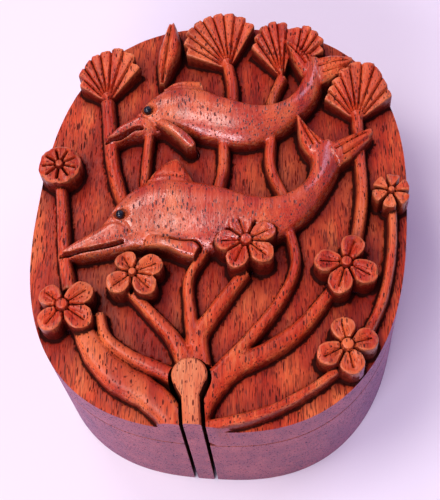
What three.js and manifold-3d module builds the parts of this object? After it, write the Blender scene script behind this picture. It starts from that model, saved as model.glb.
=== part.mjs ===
// A carved wooden puzzle box: two dolphins, sea fans and flowers on the lid.
// Millimetres, +Z up, the key side facing -Y, and the origin in the middle of
// the underside. The lid can't swing on its peg until the key is drawn up.

import * as THREE from 'three';
import { mergeVertices } from 'three/addons/utils/BufferGeometryUtils.js';
import Module from 'manifold-3d';

const wasm = await Module();
wasm.setup();

// Plan of the box, a squared oval sawn square through the whole block
const boxWidth = 112;
const boxLength = 139.4;
const outlineSquareness = 2.6;
const outlineSides = 88;

// Heights from the table up
const baseThickness = 7;
const caseHeight = 34.5;
const seamGap = 0.3;
const lidThickness = 12.2;

// Hollow inside the case
const sideWall = 11;
const keyLand = 6.3;
const pegLand = 3.7;
const hollowSides = 48;

// Key, a keyhole-shaped plug through the front of lid, case and base
const keyHeadRadius = 5;
const keyNeckWidth = 5;
const keyTaperLength = 6.5;
const keyShoulder = THREE.MathUtils.degToRad(28);
const keyInset = 14.3;
const keyOffset = -3;
const keySkew = THREE.MathUtils.degToRad(9);
const keyProud = 6;
const sawKerf = 1.1;
const keySeatGap = 0.3;

// Peg that the lid swings on
const pegRadius = 4;
const pegInset = 11.7;
const pegInLid = 8;
const pegInCase = 20;
const pegClearance = 0.3;
const pegSides = 32;

// Eye beads
const eyeRadius = 1.3;
const eyeClearance = 0.3;

// Carving, with its heights above the carved ground. The lists of points,
// widths and heights below are drawn in this unit, one millimetre.
const drawingUnit = 1;
const rootDepth = 3;
const stemHeight = 4.5;
const ridgeStep = 5;
const flowerHeight = 7.2;
const petalDome = 0.7;
const petalCrease = 0.8;
const petalStart = 0.6;
const petalTipRound = 0.12;
const buttonRise = 0.5;
const fanRootReach = 1.2;
const fanRootHeight = 3.6;
const fanRimHeight = 8.4;
const fanRibDepth = 0.7;
const fanLobe = 0.03;
const fanFlankDrop = 1.6;
const backFullness = 2.6;
const flankFoot = 0.35;
const mouthCut = 0.8;
const mouthFloor = 2.2;

// Places worked out from those sizes
const frontEdge = -boxLength / 2;
const seamLevel = caseHeight + seamGap;
const groundLevel = seamLevel + lidThickness;
const rootLevel = groundLevel - rootDepth;
const clearAbove = groundLevel + 20;
const keyPlace = new THREE.Vector2(keyOffset, frontEdge + keyInset);
const pegPlace = new THREE.Vector2(0, boxLength / 2 - pegInset);
const hollowFront = keyPlace.y + keyHeadRadius + sawKerf + keyLand;
const hollowRear = pegPlace.y - pegRadius - pegClearance - pegLand;

// Finishes
const waxedWood = { color: 0xa8452a, roughness: 0.5, metalness: 0 };
const sawnWood = { color: 0x8d5148, roughness: 0.7, metalness: 0 };
const plainWood = { color: 0x9c5a3c, roughness: 0.65, metalness: 0 };
const blackBead = { color: 0x14161c, roughness: 0.15, metalness: 0 };

// Turns a closed geometry into a solid, whichever way its faces were wound
function solidOf(geometry) {
  const bare = geometry.clone();
  bare.deleteAttribute('normal');
  bare.deleteAttribute('uv');
  const merged = mergeVertices(bare, 1e-5);
  const vertices = Float32Array.from(merged.attributes.position.array);
  const triangles = Uint32Array.from(merged.index.array);
  if (signedVolume(vertices, triangles) < 0) {
    triangles.reverse();
  }
  const mesh = new wasm.Mesh({ numProp: 3, vertProperties: vertices, triVerts: triangles });
  return new wasm.Manifold(mesh);
}

function signedVolume(vertices, triangles) {
  const corner = (index) => new THREE.Vector3().fromArray(vertices, 3 * index);
  let volume = 0;
  for (let t = 0; t < triangles.length; t += 3) {
    const [a, b, c] = [0, 1, 2].map((k) => corner(triangles[t + k]));
    volume += a.dot(b.cross(c)) / 6;
  }
  return volume;
}

function geometryOf(solid) {
  const mesh = solid.getMesh();
  const geometry = new THREE.BufferGeometry();
  geometry.setAttribute('position', new THREE.BufferAttribute(mesh.vertProperties, 3));
  geometry.setIndex(new THREE.BufferAttribute(mesh.triVerts, 1));
  geometry.computeVertexNormals();
  return geometry;
}

// An upright prism of a flat shape between two heights
function prism(shape, bottom, top, curveSegments = 12) {
  const settings = { depth: top - bottom, bevelEnabled: false, curveSegments };
  return solidOf(new THREE.ExtrudeGeometry(shape, settings).translate(0, 0, bottom));
}

// The squared oval that box and hollow share
function squaredOval(halfWidth, halfLength, centreY, sides) {
  const power = 2 / outlineSquareness;
  const points = [];
  for (let i = 0; i < sides; i += 1) {
    const angle = (2 * Math.PI * i) / sides;
    const across = Math.cos(angle);
    const along = Math.sin(angle);
    points.push(new THREE.Vector2(
      halfWidth * Math.sign(across) * Math.abs(across) ** power,
      centreY + halfLength * Math.sign(along) * Math.abs(along) ** power,
    ));
  }
  return new THREE.Shape(points);
}

function boxPrism(bottom, top) {
  return prism(squaredOval(boxWidth / 2, boxLength / 2, 0, outlineSides), bottom, top);
}

// Keyhole plan: a round head that tapers into a straight neck, which runs out
// past the front edge. It grows all round by `extra`.
function keyholePlan(extra, slide) {
  const radius = keyHeadRadius + extra;
  const neck = keyNeckWidth / 2 + extra;
  const reach = keyInset + 2 * radius;
  const plan = new THREE.Shape();
  plan.moveTo(neck, -reach);
  plan.lineTo(neck, -keyTaperLength);
  plan.absarc(0, 0, radius, -keyShoulder, Math.PI + keyShoulder, false);
  plan.lineTo(-neck, -keyTaperLength);
  plan.lineTo(-neck, -reach);
  const origin = new THREE.Vector2();
  const centre = keyPlace.clone().add(new THREE.Vector2(0, -slide).rotateAround(origin, keySkew));
  return new THREE.Shape(plan.getPoints(12).map(
    (point) => point.clone().rotateAround(origin, keySkew).add(centre),
  ));
}

// The sawn slot is a kerf wider than the key, which stands pushed to its back
function keySlot(bottom, top) {
  return prism(keyholePlan(sawKerf, sawKerf - keySeatGap), bottom, top);
}

// A closed solid under a carved surface: surface(u, v) gives its points, u
// along the form and v across it, and straight sides drop to the root level
function carvedForm(along, across, surface) {
  const rowLength = across + 1;
  const layerSize = (along + 1) * rowLength;
  const positions = [];
  for (const isTop of [true, false]) {
    for (let i = 0; i <= along; i += 1) {
      for (let j = 0; j <= across; j += 1) {
        const point = surface(i / along, j / across);
        positions.push(point.x, point.y, isTop ? point.z : rootLevel);
      }
    }
  }
  const indices = [];
  const addQuad = (a, b, c, d) => indices.push(a, b, c, a, c, d);
  for (let i = 0; i < along; i += 1) {
    for (let j = 0; j < across; j += 1) {
      const a = i * rowLength + j;
      const [b, c, d] = [a + rowLength, a + rowLength + 1, a + 1];
      addQuad(a, b, c, d);
      addQuad(d + layerSize, c + layerSize, b + layerSize, a + layerSize);
    }
  }
  const rim = [];
  for (let j = 0; j < across; j += 1) rim.push(j);
  for (let i = 0; i < along; i += 1) rim.push(i * rowLength + across);
  for (let j = across; j > 0; j -= 1) rim.push(along * rowLength + j);
  for (let i = along; i > 0; i -= 1) rim.push(i * rowLength);
  rim.forEach((a, k) => {
    const b = rim[(k + 1) % rim.length];
    addQuad(a, b, b + layerSize, a + layerSize);
  });
  const geometry = new THREE.BufferGeometry();
  geometry.setAttribute('position', new THREE.Float32BufferAttribute(positions, 3));
  geometry.setIndex(indices);
  return solidOf(geometry);
}

function smoothLine(points) {
  return new THREE.CatmullRomCurve3(points.map(
    ([x, y]) => new THREE.Vector3(x, y, 0).multiplyScalar(drawingUnit),
  ));
}

// A value that runs through a short list, for u from 0 to 1
function valueAlong(list, u) {
  const place = u * (list.length - 1);
  const before = Math.min(Math.floor(place), list.length - 2);
  return THREE.MathUtils.lerp(list[before], list[before + 1], place - before);
}

function lengthAlong(list, u) {
  return drawingUnit * valueAlong(list, u);
}

// A ridge along a line. The profile lists [place across, share of height].
const roundedRidge = [[-1, 0.25], [-0.62, 0.82], [0, 1], [0.62, 0.82], [1, 0.25]];
const creasedLeaf = [[-1, 0.7], [-0.5, 0.95], [0, 0.78], [0.5, 1], [1, 0.7]];
const groovedFluke = [[-1, 0.7], [-0.5, 1], [-0.25, 0.82], [0.25, 1], [0.5, 0.82], [1, 0.75]];

function ridge({ line, widths, heights, profile = roundedRidge }) {
  const curve = smoothLine(line);
  const rows = Math.max(2, Math.round(curve.getLength() / ridgeStep));
  return carvedForm(rows, profile.length - 1, (u, v) => {
    const centre = curve.getPointAt(u);
    const heading = curve.getTangentAt(u);
    const [place, share] = profile[Math.round(v * (profile.length - 1))];
    const aside = (place * lengthAlong(widths, u)) / 2;
    return new THREE.Vector3(
      centre.x - heading.y * aside,
      centre.y + heading.x * aside,
      groundLevel + share * (heights ? lengthAlong(heights, u) : stemHeight),
    );
  });
}

// A form between two edge lines that run the same way, with a profile across
function between({ edges, heights, profile, rows }) {
  const [far, near] = edges.map(smoothLine);
  return carvedForm(rows, profile.length - 1, (u, v) => {
    const [place, share] = profile[Math.round(v * (profile.length - 1))];
    const point = far.getPointAt(u).lerp(near.getPointAt(u), (1 + place) / 2);
    point.z = groundLevel + share * lengthAlong(heights, u);
    return point;
  });
}

// A dolphin's body is round across, with sides that start a little way up
function roundBack(columns) {
  const power = 2 / backFullness;
  return Array.from({ length: columns + 1 }, (_, j) => {
    const angle = (Math.PI * j) / columns;
    const turned = Math.cos(angle);
    const place = -Math.sign(turned) * Math.abs(turned) ** power;
    return [place, flankFoot + (1 - flankFoot) * Math.abs(Math.sin(angle)) ** power];
  });
}

function body({ back, belly, heights }) {
  return between({ edges: [back, belly], heights, profile: roundBack(8), rows: 18 });
}

// A sea fan: ribs that spread from a root, with a lobed rim and low flanks
function seaFan({ root, from, to, reach, ribs }) {
  return carvedForm(4, 2 * ribs, (u, v) => {
    const angle = THREE.MathUtils.degToRad(THREE.MathUtils.lerp(from, to, v));
    const onRib = Math.round(v * 2 * ribs) % 2;
    const lobe = onRib ? 1 : 1 - fanLobe;
    const radius = THREE.MathUtils.lerp(fanRootReach, lengthAlong(reach, v) * lobe, u);
    const flank = fanFlankDrop * (2 * v - 1) ** 2 * u;
    const rise = THREE.MathUtils.lerp(fanRootHeight, fanRimHeight, u ** 0.8);
    const rib = (onRib ? 0 : -fanRibDepth) * Math.min(1, 0.4 + u);
    return new THREE.Vector3(
      root[0] * drawingUnit + radius * Math.cos(angle),
      root[1] * drawingUnit + radius * Math.sin(angle),
      groundLevel + rise + rib - flank,
    );
  });
}

// A flower: petals round a button. Each petal lists [direction, reach, width].
const petalOutline = [0.34, 0.8, 1, 0.92, 0.42];
const petalCrossing = [-1, -0.55, 0, 0.55, 1];

function petal(centre, top, direction, reach, width) {
  return carvedForm(petalOutline.length - 1, petalCrossing.length - 1, (u, v) => {
    const place = petalCrossing[Math.round(v * (petalCrossing.length - 1))];
    const aside = (place * width * valueAlong(petalOutline, u)) / 2;
    const tipRound = petalTipRound * width * Math.abs(place) * u;
    const out = THREE.MathUtils.lerp(petalStart, reach, u) - tipRound;
    const crease = place === 0 ? petalCrease * (1 - u * u) : 0;
    const dome = petalDome * (1 - place * place) * Math.sin(Math.PI * Math.min(1, 0.3 + u * 0.7));
    const offset = new THREE.Vector2(out, aside).rotateAround(
      new THREE.Vector2(),
      THREE.MathUtils.degToRad(direction),
    );
    return new THREE.Vector3(centre.x + offset.x, centre.y + offset.y, top + dome - crease);
  });
}

function flower({ centre, petals, button, lift = 0 }) {
  const middle = new THREE.Vector2(...centre).multiplyScalar(drawingUnit);
  const top = groundLevel + flowerHeight + lift * drawingUnit;
  const forms = petals.map(([direction, reach, width]) => (
    petal(middle, top, direction, reach * drawingUnit, width * drawingUnit)
  ));
  const radius = button * drawingUnit;
  const round = new THREE.Shape().absarc(middle.x, middle.y, radius, 0, 2 * Math.PI, false);
  forms.push(prism(round, rootLevel, top + buttonRise, 5));
  return forms;
}

function evenPetals(count, first, reach, width) {
  return Array.from({ length: count }, (_, i) => [first + (360 * i) / count, reach, width]);
}

// The two dolphins
const upperDolphin = {
  back: [[-36.8, 20.8], [-33.5, 25.3], [-29.8, 28.2], [-28.5, 30], [-26.4, 33.8], [-23.4, 37.4],
    [-19, 40.5], [-10, 40.5],
    [-5, 38.5], [0, 36.5], [6, 34.5], [11, 34.3], [16, 36], [20, 40.5], [23, 49.5], [24, 54]],
  belly: [[-35.8, 19], [-33.9, 19.1], [-30.2, 21.5], [-25.5, 22.6], [-21.8, 23.9], [-14, 24.5],
    [-8, 23], [-3, 22],
    [3, 20.8], [8.5, 21.5], [14, 24], [20, 28.5], [25, 34.5], [28.5, 41.5], [29, 48], [28.3, 54]],
  heights: [6.4, 7.4, 8.3, 8.9, 9.2, 9.4, 9.2, 8.6, 7.8, 7],
};
const lowerDolphin = {
  back: [[-44.6, -19.4], [-41.4, -16.1], [-35.8, -11.7], [-33.4, -8.8], [-30.6, -2.5],
    [-27.3, 1.7], [-23.6, 4.8], [-18, 7],
    [-10, 6.5], [0, 4.7], [8, 2], [14, 1.4], [20, 3.3], [25, 8], [26.5, 14], [25.8, 20], [29.5, 23]],
  belly: [[-43.6, -21.2], [-39.3, -21.4], [-33.8, -20], [-28.3, -18.5], [-22, -17], [-14, -16.3],
    [-4, -16.5],
    [6, -15.5], [14, -13.5], [22, -8.5], [28, -2], [32, 5], [35, 12.5], [36.3, 17.5], [34.5, 22.5]],
  heights: [6.2, 7.2, 8.3, 9.1, 9.6, 9.8, 9.4, 8.8, 7.8, 6.6],
};

// Back fins, flippers and tails, each between two edge lines
const flatFin = [[-1, 0.75], [-0.4, 1], [0.4, 0.95], [1, 0.7]];
const fins = [
  { edges: [[[-21.5, 40], [-17.6, 42.2], [-13.7, 43.2], [-10, 43.6]], [[-20, 37], [-14, 38.5], [-8, 38.6]]],
    heights: [6.6, 7.4, 6.6], profile: flatFin },
  { edges: [[[-22.5, 5.5], [-18.6, 11], [-15, 13.6]], [[-7.5, 4.5], [-11, 8.5], [-13.2, 13]]],
    heights: [7.4, 6.8, 6.2], profile: flatFin },
  { edges: [[[-19.5, 27.6], [-15.5, 25.2], [-11.5, 22.4], [-8.2, 19]],
    [[-22.5, 25.8], [-18.2, 22.9], [-14.5, 20], [-9.6, 16.2]]],
  heights: [9.2, 8.8, 8.2, 7.6], profile: flatFin },
  { edges: [[[-19, -12.2], [-13.5, -14.4], [-9.7, -15], [-3.8, -16]],
    [[-20.5, -16.8], [-17, -17.2], [-13.1, -17.8], [-9.3, -19.3], [-4.8, -20.4]]],
  heights: [8.8, 8.6, 8, 7.4], profile: flatFin },
  { edges: [[[26, 54], [22.5, 57.5], [16, 61]], [[23.5, 45], [20, 50.5], [15.6, 60]]],
    heights: [7, 7.5, 7.3], profile: groovedFluke },
  { edges: [[[24.5, 53.5], [30.5, 55.2], [37.4, 54.3]], [[28.5, 44.5], [33, 47.5], [38, 52.6]]],
    heights: [7, 7.6, 7.4], profile: groovedFluke },
  { edges: [[[32.5, 22], [27.3, 25.7], [22, 31.4]], [[29, 13.5], [23, 21.5], [21.4, 30.4]]],
    heights: [6.8, 7.2, 7.2], profile: groovedFluke },
  { edges: [[[31, 21.5], [37.5, 25], [44, 27.6]], [[35.5, 14.5], [40.5, 19], [45, 25.5]]],
    heights: [6.8, 7.4, 7.4], profile: groovedFluke },
];

// Middle of each eye bead, with its height above the carved ground
const eyes = {
  upper: [-25, 30.3, 7.4],
  lower: [-28.6, -7.4, 7.5],
};

const mouths = [
  [[-37, 19.6], [-33.5, 20.7], [-31.1, 22.4], [-28.5, 23.9], [-25.4, 24.5]],
  [[-45, -20.9], [-42.1, -20.4], [-33.9, -18], [-25.4, -15.1]],
];

const seaFans = [
  { root: [-38.9, 35.6], from: 156, to: 54, reach: [9, 14.8, 16.2, 18.4, 14], ribs: 8 },
  { root: [-1.5, 50.8], from: 168, to: 66, reach: [13.4, 17.9, 18.7, 18.9, 16.8], ribs: 9 },
  { root: [16, 47.5], from: 137, to: 80, reach: [13.8, 16.6, 19.2, 19.2, 17], ribs: 6 },
  { root: [19.5, 52], from: 98, to: 28, reach: [13.3, 14, 12.7, 11.8, 9], ribs: 5 },
  { root: [40.1, 32.4], from: 150, to: 38, reach: [11.6, 14.2, 18.9, 18.2, 12.3], ribs: 9 },
];

const leafBud = {
  line: [[-22.3, 42.5], [-22, 50], [-21, 57], [-21.6, 67.5]],
  widths: [2, 5, 7, 5, 0.8],
  heights: [5, 6.5, 7.8, 8.2, 7.6],
  profile: creasedLeaf,
};

const flowers = [
  { centre: [-49.8, 9.3], petals: evenPetals(8, 10, 6.6, 4.9), button: 1.2 },
  { centre: [-41.3, -37.5], button: 1.8,
    petals: [[146, 8, 6.6], [40, 10, 7], [239, 9, 7], [329, 10.2, 7.4]] },
  { centre: [-22.5, -26], button: 1.2,
    petals: [[124, 7.2, 6.4], [27, 9.2, 6.8], [222, 8.5, 7], [319, 8.8, 6.6]] },
  { centre: [9.5, -14.3], button: 1.7, lift: 1.6,
    petals: [[112, 9, 6.6], [31, 9.3, 6], [323, 9.6, 6.8], [250, 9.6, 6.4], [186, 9.2, 6.6]] },
  { centre: [38.5, -19], button: 1.6,
    petals: [[73, 9.2, 6.8], [180, 9.2, 7], [257, 10.2, 7], [332, 9.8, 7.4]] },
  { centre: [40.5, -45], button: 1.8,
    petals: [[106, 8.4, 6.8], [20, 9.2, 6.8], [285, 9.4, 7], [212, 9.2, 6.8]] },
  { centre: [50.8, 5.5], petals: evenPetals(6, 25, 5.6, 4.6), button: 1 },
];

// Stems, each a line with its width at the far and the near end
const stems = [
  { line: [[-49, 3], [-46.5, -9], [-44, -21], [-41, -31]], widths: [3.6, 4.4] },
  { line: [[-37, -40], [-30.5, -50], [-23, -56.5], [-14, -61], [-7, -68]], widths: [5, 8, 9.5, 9] },
  { line: [[-31, -38], [-28, -45], [-21, -50], [-9, -54.5]], widths: [3, 4.4, 5] },
  { line: [[-22.5, -31], [-15, -38], [-9, -44], [-4, -52]], widths: [3.4, 4.4, 6] },
  { line: [[-2.5, -16], [-6.5, -25], [-5, -36], [-3, -46]], widths: [3, 3.6, 4.4] },
  { line: [[9.5, -22], [2, -35], [-1.8, -43], [-0.5, -52]], widths: [4, 5, 6.5] },
  { line: [[21.5, -7], [24, -19], [20, -31], [12, -43.5], [3, -55]], widths: [3.2, 3.6, 4.6] },
  { line: [[35, -26], [27, -38], [18, -46], [8, -52], [2, -63]], widths: [3.6, 5, 6, 7] },
  { line: [[38, -50], [30.5, -56.5], [18.5, -64], [0, -70]], widths: [2.6, 3.2, 3.8] },
  { line: [[51.5, 2], [51.5, -13], [49, -29], [44, -42]], widths: [2.6, 2.8] },
  { line: [[40, 34], [41.2, 20], [42.5, 5], [41, -12]], widths: [3.2, 3.4] },
  { line: [[-39.3, 38], [-37, 25], [-34.5, 13], [-31, 1]], widths: [4, 3.4] },
  { line: [[-24, 26], [-24, 15], [-23.3, 4]], widths: [2.4, 2.2] },
  { line: [[-2, 52.5], [0, 44], [1, 34]], widths: [3.4, 3.2] },
  { line: [[-0.8, 23], [0, 13], [-1, 3]], widths: [3, 2.8] },
  { line: [[15.8, 49.5], [14, 42], [12, 33]], widths: [3, 2.8] },
  { line: [[13.8, 25], [14.5, 14], [20, 2]], widths: [2.8, 3] },
];

function carving() {
  const forms = [
    body(upperDolphin),
    body(lowerDolphin),
    ridge(leafBud),
    ...fins.map((fin) => between({ ...fin, rows: 4 })),
    ...seaFans.map(seaFan),
    ...flowers.flatMap(flower),
    ...stems.map(ridge),
  ];
  return forms.reduce((whole, form) => whole.add(form));
}

// The slit between a dolphin's jaws
function mouthSlit(points) {
  const curve = smoothLine(points);
  const left = [];
  const right = [];
  for (const point of curve.getSpacedPoints(5)) {
    left.push(new THREE.Vector2(point.x, point.y + mouthCut / 2));
    right.unshift(new THREE.Vector2(point.x, point.y - mouthCut / 2));
  }
  return prism(new THREE.Shape([...left, ...right]), groundLevel + mouthFloor, clearAbove);
}

function pegPrism(radius, bottom, top) {
  const round = new THREE.Shape().absarc(pegPlace.x, pegPlace.y, radius, 0, 2 * Math.PI, false);
  return prism(round, bottom, top, pegSides);
}

function eyeCentre([x, y, height]) {
  const drawn = new THREE.Vector3(x, y, height).multiplyScalar(drawingUnit);
  return drawn.setZ(groundLevel + drawn.z);
}

function eyeSphere(radius, centre) {
  const sphere = new THREE.SphereGeometry(radius, 14, 10).rotateX(Math.PI / 2);
  return solidOf(sphere.translate(centre.x, centre.y, centre.z));
}

function eyeSocket(centre) {
  const radius = eyeRadius + eyeClearance;
  const well = new THREE.Shape().absarc(centre.x, centre.y, radius, 0, 2 * Math.PI, false);
  return prism(well, centre.z - eyeRadius - eyeClearance, clearAbove, 7);
}

function makeLid() {
  const block = boxPrism(seamLevel, groundLevel).add(carving());
  const cuts = [
    keySlot(seamLevel - 1, clearAbove),
    pegPrism(pegRadius + pegClearance, seamLevel - 1, seamLevel + pegInLid + pegClearance),
    ...mouths.map(mouthSlit),
    ...Object.values(eyes).map((place) => eyeSocket(eyeCentre(place))),
  ];
  const shaped = block.intersect(boxPrism(seamLevel, clearAbove));
  return cuts.reduce((whole, cut) => whole.subtract(cut), shaped);
}

function makeCaseWall() {
  const hollow = squaredOval(
    boxWidth / 2 - sideWall,
    (hollowRear - hollowFront) / 2,
    (hollowRear + hollowFront) / 2,
    hollowSides,
  );
  return boxPrism(baseThickness, caseHeight)
    .subtract(prism(hollow, baseThickness - 1, caseHeight + 1))
    .subtract(keySlot(baseThickness - 1, caseHeight + 1))
    .subtract(pegPrism(pegRadius + pegClearance, caseHeight - pegInCase - pegClearance, caseHeight + 1));
}

function makeBaseBoard() {
  return boxPrism(0, baseThickness).subtract(keySlot(-1, baseThickness + 1));
}

function makeKey() {
  return prism(keyholePlan(0, 0), 0, groundLevel + keyProud).intersect(boxPrism(0, clearAbove));
}

function piece(name, solid, finish) {
  const mesh = new THREE.Mesh(geometryOf(solid), new THREE.MeshStandardMaterial(finish));
  mesh.name = name;
  return mesh;
}

const box = new THREE.Group();

const fixedCase = new THREE.Group();
fixedCase.add(piece('case_wall', makeCaseWall(), sawnWood));
fixedCase.add(piece('base_board', makeBaseBoard(), plainWood));
box.add(fixedCase);

const swingingLid = new THREE.Group();
swingingLid.add(piece('lid', makeLid(), waxedWood));
swingingLid.add(piece(
  'pivot_peg',
  pegPrism(pegRadius, caseHeight - pegInCase, seamLevel + pegInLid),
  plainWood,
));
for (const [which, place] of Object.entries(eyes)) {
  swingingLid.add(piece(`eye_inlay_${which}`, eyeSphere(eyeRadius, eyeCentre(place)), blackBead));
}
box.add(swingingLid);

box.add(piece('lock_key', makeKey(), waxedWood));

export default box;
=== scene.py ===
"""Looks of a carved wooden puzzle box: dolphins, sea fans and flowers on its lid.

Pieces are made in millimetres round the box's own origin and turned to metres at
the end. The carving is set out as forms on the lid's ground, fused and cut, as a
carver lowers the ground of one board.
"""

import math

import bmesh
import bpy
import numpy as np
from mathutils import Matrix, Vector


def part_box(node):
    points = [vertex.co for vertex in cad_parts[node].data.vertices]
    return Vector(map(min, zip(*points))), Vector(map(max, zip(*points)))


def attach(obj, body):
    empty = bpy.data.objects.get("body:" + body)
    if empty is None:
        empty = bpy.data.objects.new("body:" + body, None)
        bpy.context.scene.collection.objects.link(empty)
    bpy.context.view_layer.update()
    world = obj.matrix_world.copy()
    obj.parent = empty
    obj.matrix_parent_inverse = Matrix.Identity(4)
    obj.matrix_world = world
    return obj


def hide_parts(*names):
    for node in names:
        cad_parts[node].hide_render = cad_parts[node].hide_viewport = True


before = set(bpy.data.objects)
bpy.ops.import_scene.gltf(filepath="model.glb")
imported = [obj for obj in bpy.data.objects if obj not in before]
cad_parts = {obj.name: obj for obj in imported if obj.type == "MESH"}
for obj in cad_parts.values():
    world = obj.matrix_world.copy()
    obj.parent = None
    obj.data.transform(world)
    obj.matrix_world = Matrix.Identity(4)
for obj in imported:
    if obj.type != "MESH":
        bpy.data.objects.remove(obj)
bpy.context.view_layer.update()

# Sizes from the frame, in millimetres. The solids' ovals are drawn with few
# points, which leaves their boxes a little short of the true length.
MM = 1000.0
OVAL_SHORTFALL = 0.05


def frame_box(node):
    low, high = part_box(node)
    return low * MM, high * MM


lid_low, _ = frame_box("lid")
case_low, case_high = frame_box("case_wall")
_, key_high = frame_box("lock_key")
peg_low, peg_high = frame_box("pivot_peg")
HALF_WIDTH = (case_high.x - case_low.x) / 2
HALF_LENGTH = (case_high.y - case_low.y) / 2 + OVAL_SHORTFALL
SEAM = lid_low.z
CASE_TOP = case_high.z
BASE_TOP = case_low.z
KEY_TOP = key_high.z
PEG_RADIUS = (peg_high.x - peg_low.x) / 2
PEG_X = (peg_high.x + peg_low.x) / 2
PEG_Y = (peg_high.y + peg_low.y) / 2

# Sizes that the frame doesn't give
SQUARENESS = 2.6
LID_BOARD = 12.2
GROUND = SEAM + LID_BOARD
SIDE_WALL = 11.0
HOLLOW_FRONT = -43.0
HOLLOW_REAR = 50.0
KEY_HEAD_RADIUS = 5.0
KEY_NECK_WIDTH = 5.0
KEY_TAPER_LENGTH = 6.5
KEY_SHOULDER = math.radians(28)
KEY_SKEW = math.radians(9)
KEY_CENTRE = Vector((-3.0, -55.4))
SAW_KERF = 1.1
KEY_SEAT_GAP = 0.3
PEG_CLEARANCE = 0.3
EDGE_EASE = 0.22
CARVING_DEPTH = 3.0
STEM_HEIGHT = 4.5
FLOWER_HEIGHT = 7.2
FAN_ROOT_HEIGHT = 4.6
FAN_RIM_HEIGHT = 8.4
EYE_DISH = 1.7
EYE_DISH_LIFT = 0.75

# What lies this near the carved ground belongs to it
GROUND_MARGIN = 1.2

# How far a cutting form runs past what it cuts
OVERCUT = 2.0
ABOVE_CARVING = 25.0

# How finely shapes are drawn
VOXEL = 0.32
FORM_STEP = 0.4
OVAL_POINTS = 300
HOLLOW_POINTS = 180
SLAB_POINTS = 160
ROUND_POINTS = 64
LID_TRIANGLES = 185000


# Helpers for meshes
def placed(name, data):
    """Puts a mesh, lamp or camera into the scene."""
    made = bpy.data.objects.new(name, data)
    bpy.context.scene.collection.objects.link(made)
    return made


def new_object(name, vertices, faces):
    mesh = bpy.data.meshes.new(name)
    mesh.from_pydata([tuple(v) for v in vertices], [], faces)
    mesh.update()
    return placed(name, mesh)


def object_from(name, bm):
    mesh = bpy.data.meshes.new(name)
    bm.to_mesh(mesh)
    bm.free()
    return placed(name, mesh)


def face_outwards(piece):
    bm = bmesh.new()
    bm.from_mesh(piece.data)
    bmesh.ops.remove_doubles(bm, verts=bm.verts, dist=1e-4)
    bmesh.ops.recalc_face_normals(bm, faces=bm.faces)
    bm.to_mesh(piece.data)
    bm.free()
    return piece


def ball(name, centre, radius, segments, rings):
    """Rings round an upright axis, closed at both poles, in the same order each run."""
    turns = np.linspace(0, 2 * math.pi, segments, endpoint=False)
    vertices = [centre - Vector((0, 0, radius)), centre + Vector((0, 0, radius))]
    for rise in np.linspace(-math.pi / 2, math.pi / 2, rings + 1)[1:-1]:
        flat, height = radius * math.cos(rise), radius * math.sin(rise)
        vertices += [centre + Vector((flat * math.cos(a), flat * math.sin(a), height)) for a in turns]
    faces = []
    for i in range(segments):
        low, beside = 2 + i, 2 + (i + 1) % segments
        for step in range(0, (rings - 2) * segments, segments):
            faces.append([low + step, beside + step, beside + step + segments, low + step + segments])
        last = (rings - 2) * segments
        faces += [[0, beside, low], [1, low + last, beside + last]]
    return face_outwards(new_object(name, vertices, faces))


def drop(*pieces):
    for piece in pieces:
        bpy.data.objects.remove(piece)


def settle(piece):
    """Turns the piece with its modifiers into a plain mesh."""
    graph = bpy.context.evaluated_depsgraph_get()
    mesh = bpy.data.meshes.new_from_object(piece.evaluated_get(graph))
    piece.modifiers.clear()
    old = piece.data
    piece.data = mesh
    bpy.data.meshes.remove(old)
    return piece


def join(name, pieces):
    """One object that holds the meshes of all the pieces."""
    bm = bmesh.new()
    for piece in pieces:
        bm.from_mesh(piece.data)
    drop(*pieces)
    return object_from(name, bm)


def boolean(piece, tool, operation):
    step = piece.modifiers.new(operation.title(), "BOOLEAN")
    step.operation = operation
    step.object = tool
    step.solver = "MANIFOLD"
    settle(piece)
    drop(tool)
    return piece


def to_metres(piece):
    piece.data.transform(Matrix.Scale(1 / MM, 4))
    return piece


# Plan outlines
def squared_oval(half_width, half_length, centre_y, count, inset=0.0):
    power = 2 / SQUARENESS
    points = []
    for i in range(count):
        angle = 2 * math.pi * i / count
        c, s = math.cos(angle), math.sin(angle)
        points.append((
            (half_width - inset) * math.copysign(abs(c) ** power, c),
            centre_y + (half_length - inset) * math.copysign(abs(s) ** power, s),
        ))
    return points


def keyhole(extra, slide, inset=0.0):
    """The key's plan: a round head that tapers to a neck, run past the front."""
    radius = KEY_HEAD_RADIUS + extra - inset
    neck = KEY_NECK_WIDTH / 2 + extra - inset
    reach = HALF_LENGTH + KEY_CENTRE.y + 2 * (KEY_HEAD_RADIUS + extra)
    points = [(neck, -reach), (neck, -KEY_TAPER_LENGTH)]
    steps = 40
    for i in range(steps + 1):
        angle = -KEY_SHOULDER + (math.pi + 2 * KEY_SHOULDER) * i / steps
        points.append((radius * math.cos(angle), radius * math.sin(angle)))
    points += [(-neck, -KEY_TAPER_LENGTH), (-neck, -reach)]
    turn = Matrix.Rotation(KEY_SKEW, 2)
    centre = KEY_CENTRE + turn @ Vector((0, -slide))
    return [tuple(turn @ Vector(p) + centre) for p in points]


def stacked_prism(name, rings):
    """A solid through rings of points, each given as (points, height)."""
    vertices = [(x, y, z) for points, z in rings for x, y in points]
    count = len(rings[0][0])
    faces = [list(range(count))[::-1]]
    for level in range(len(rings) - 1):
        for i in range(count):
            a = level * count + i
            b = level * count + (i + 1) % count
            faces.append([a, b, b + count, a + count])
    faces.append([(len(rings) - 1) * count + i for i in range(count)])
    return face_outwards(new_object(name, vertices, faces))


def plain_prism(name, points, bottom, top):
    return stacked_prism(name, [(points, bottom), (points, top)])


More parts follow.
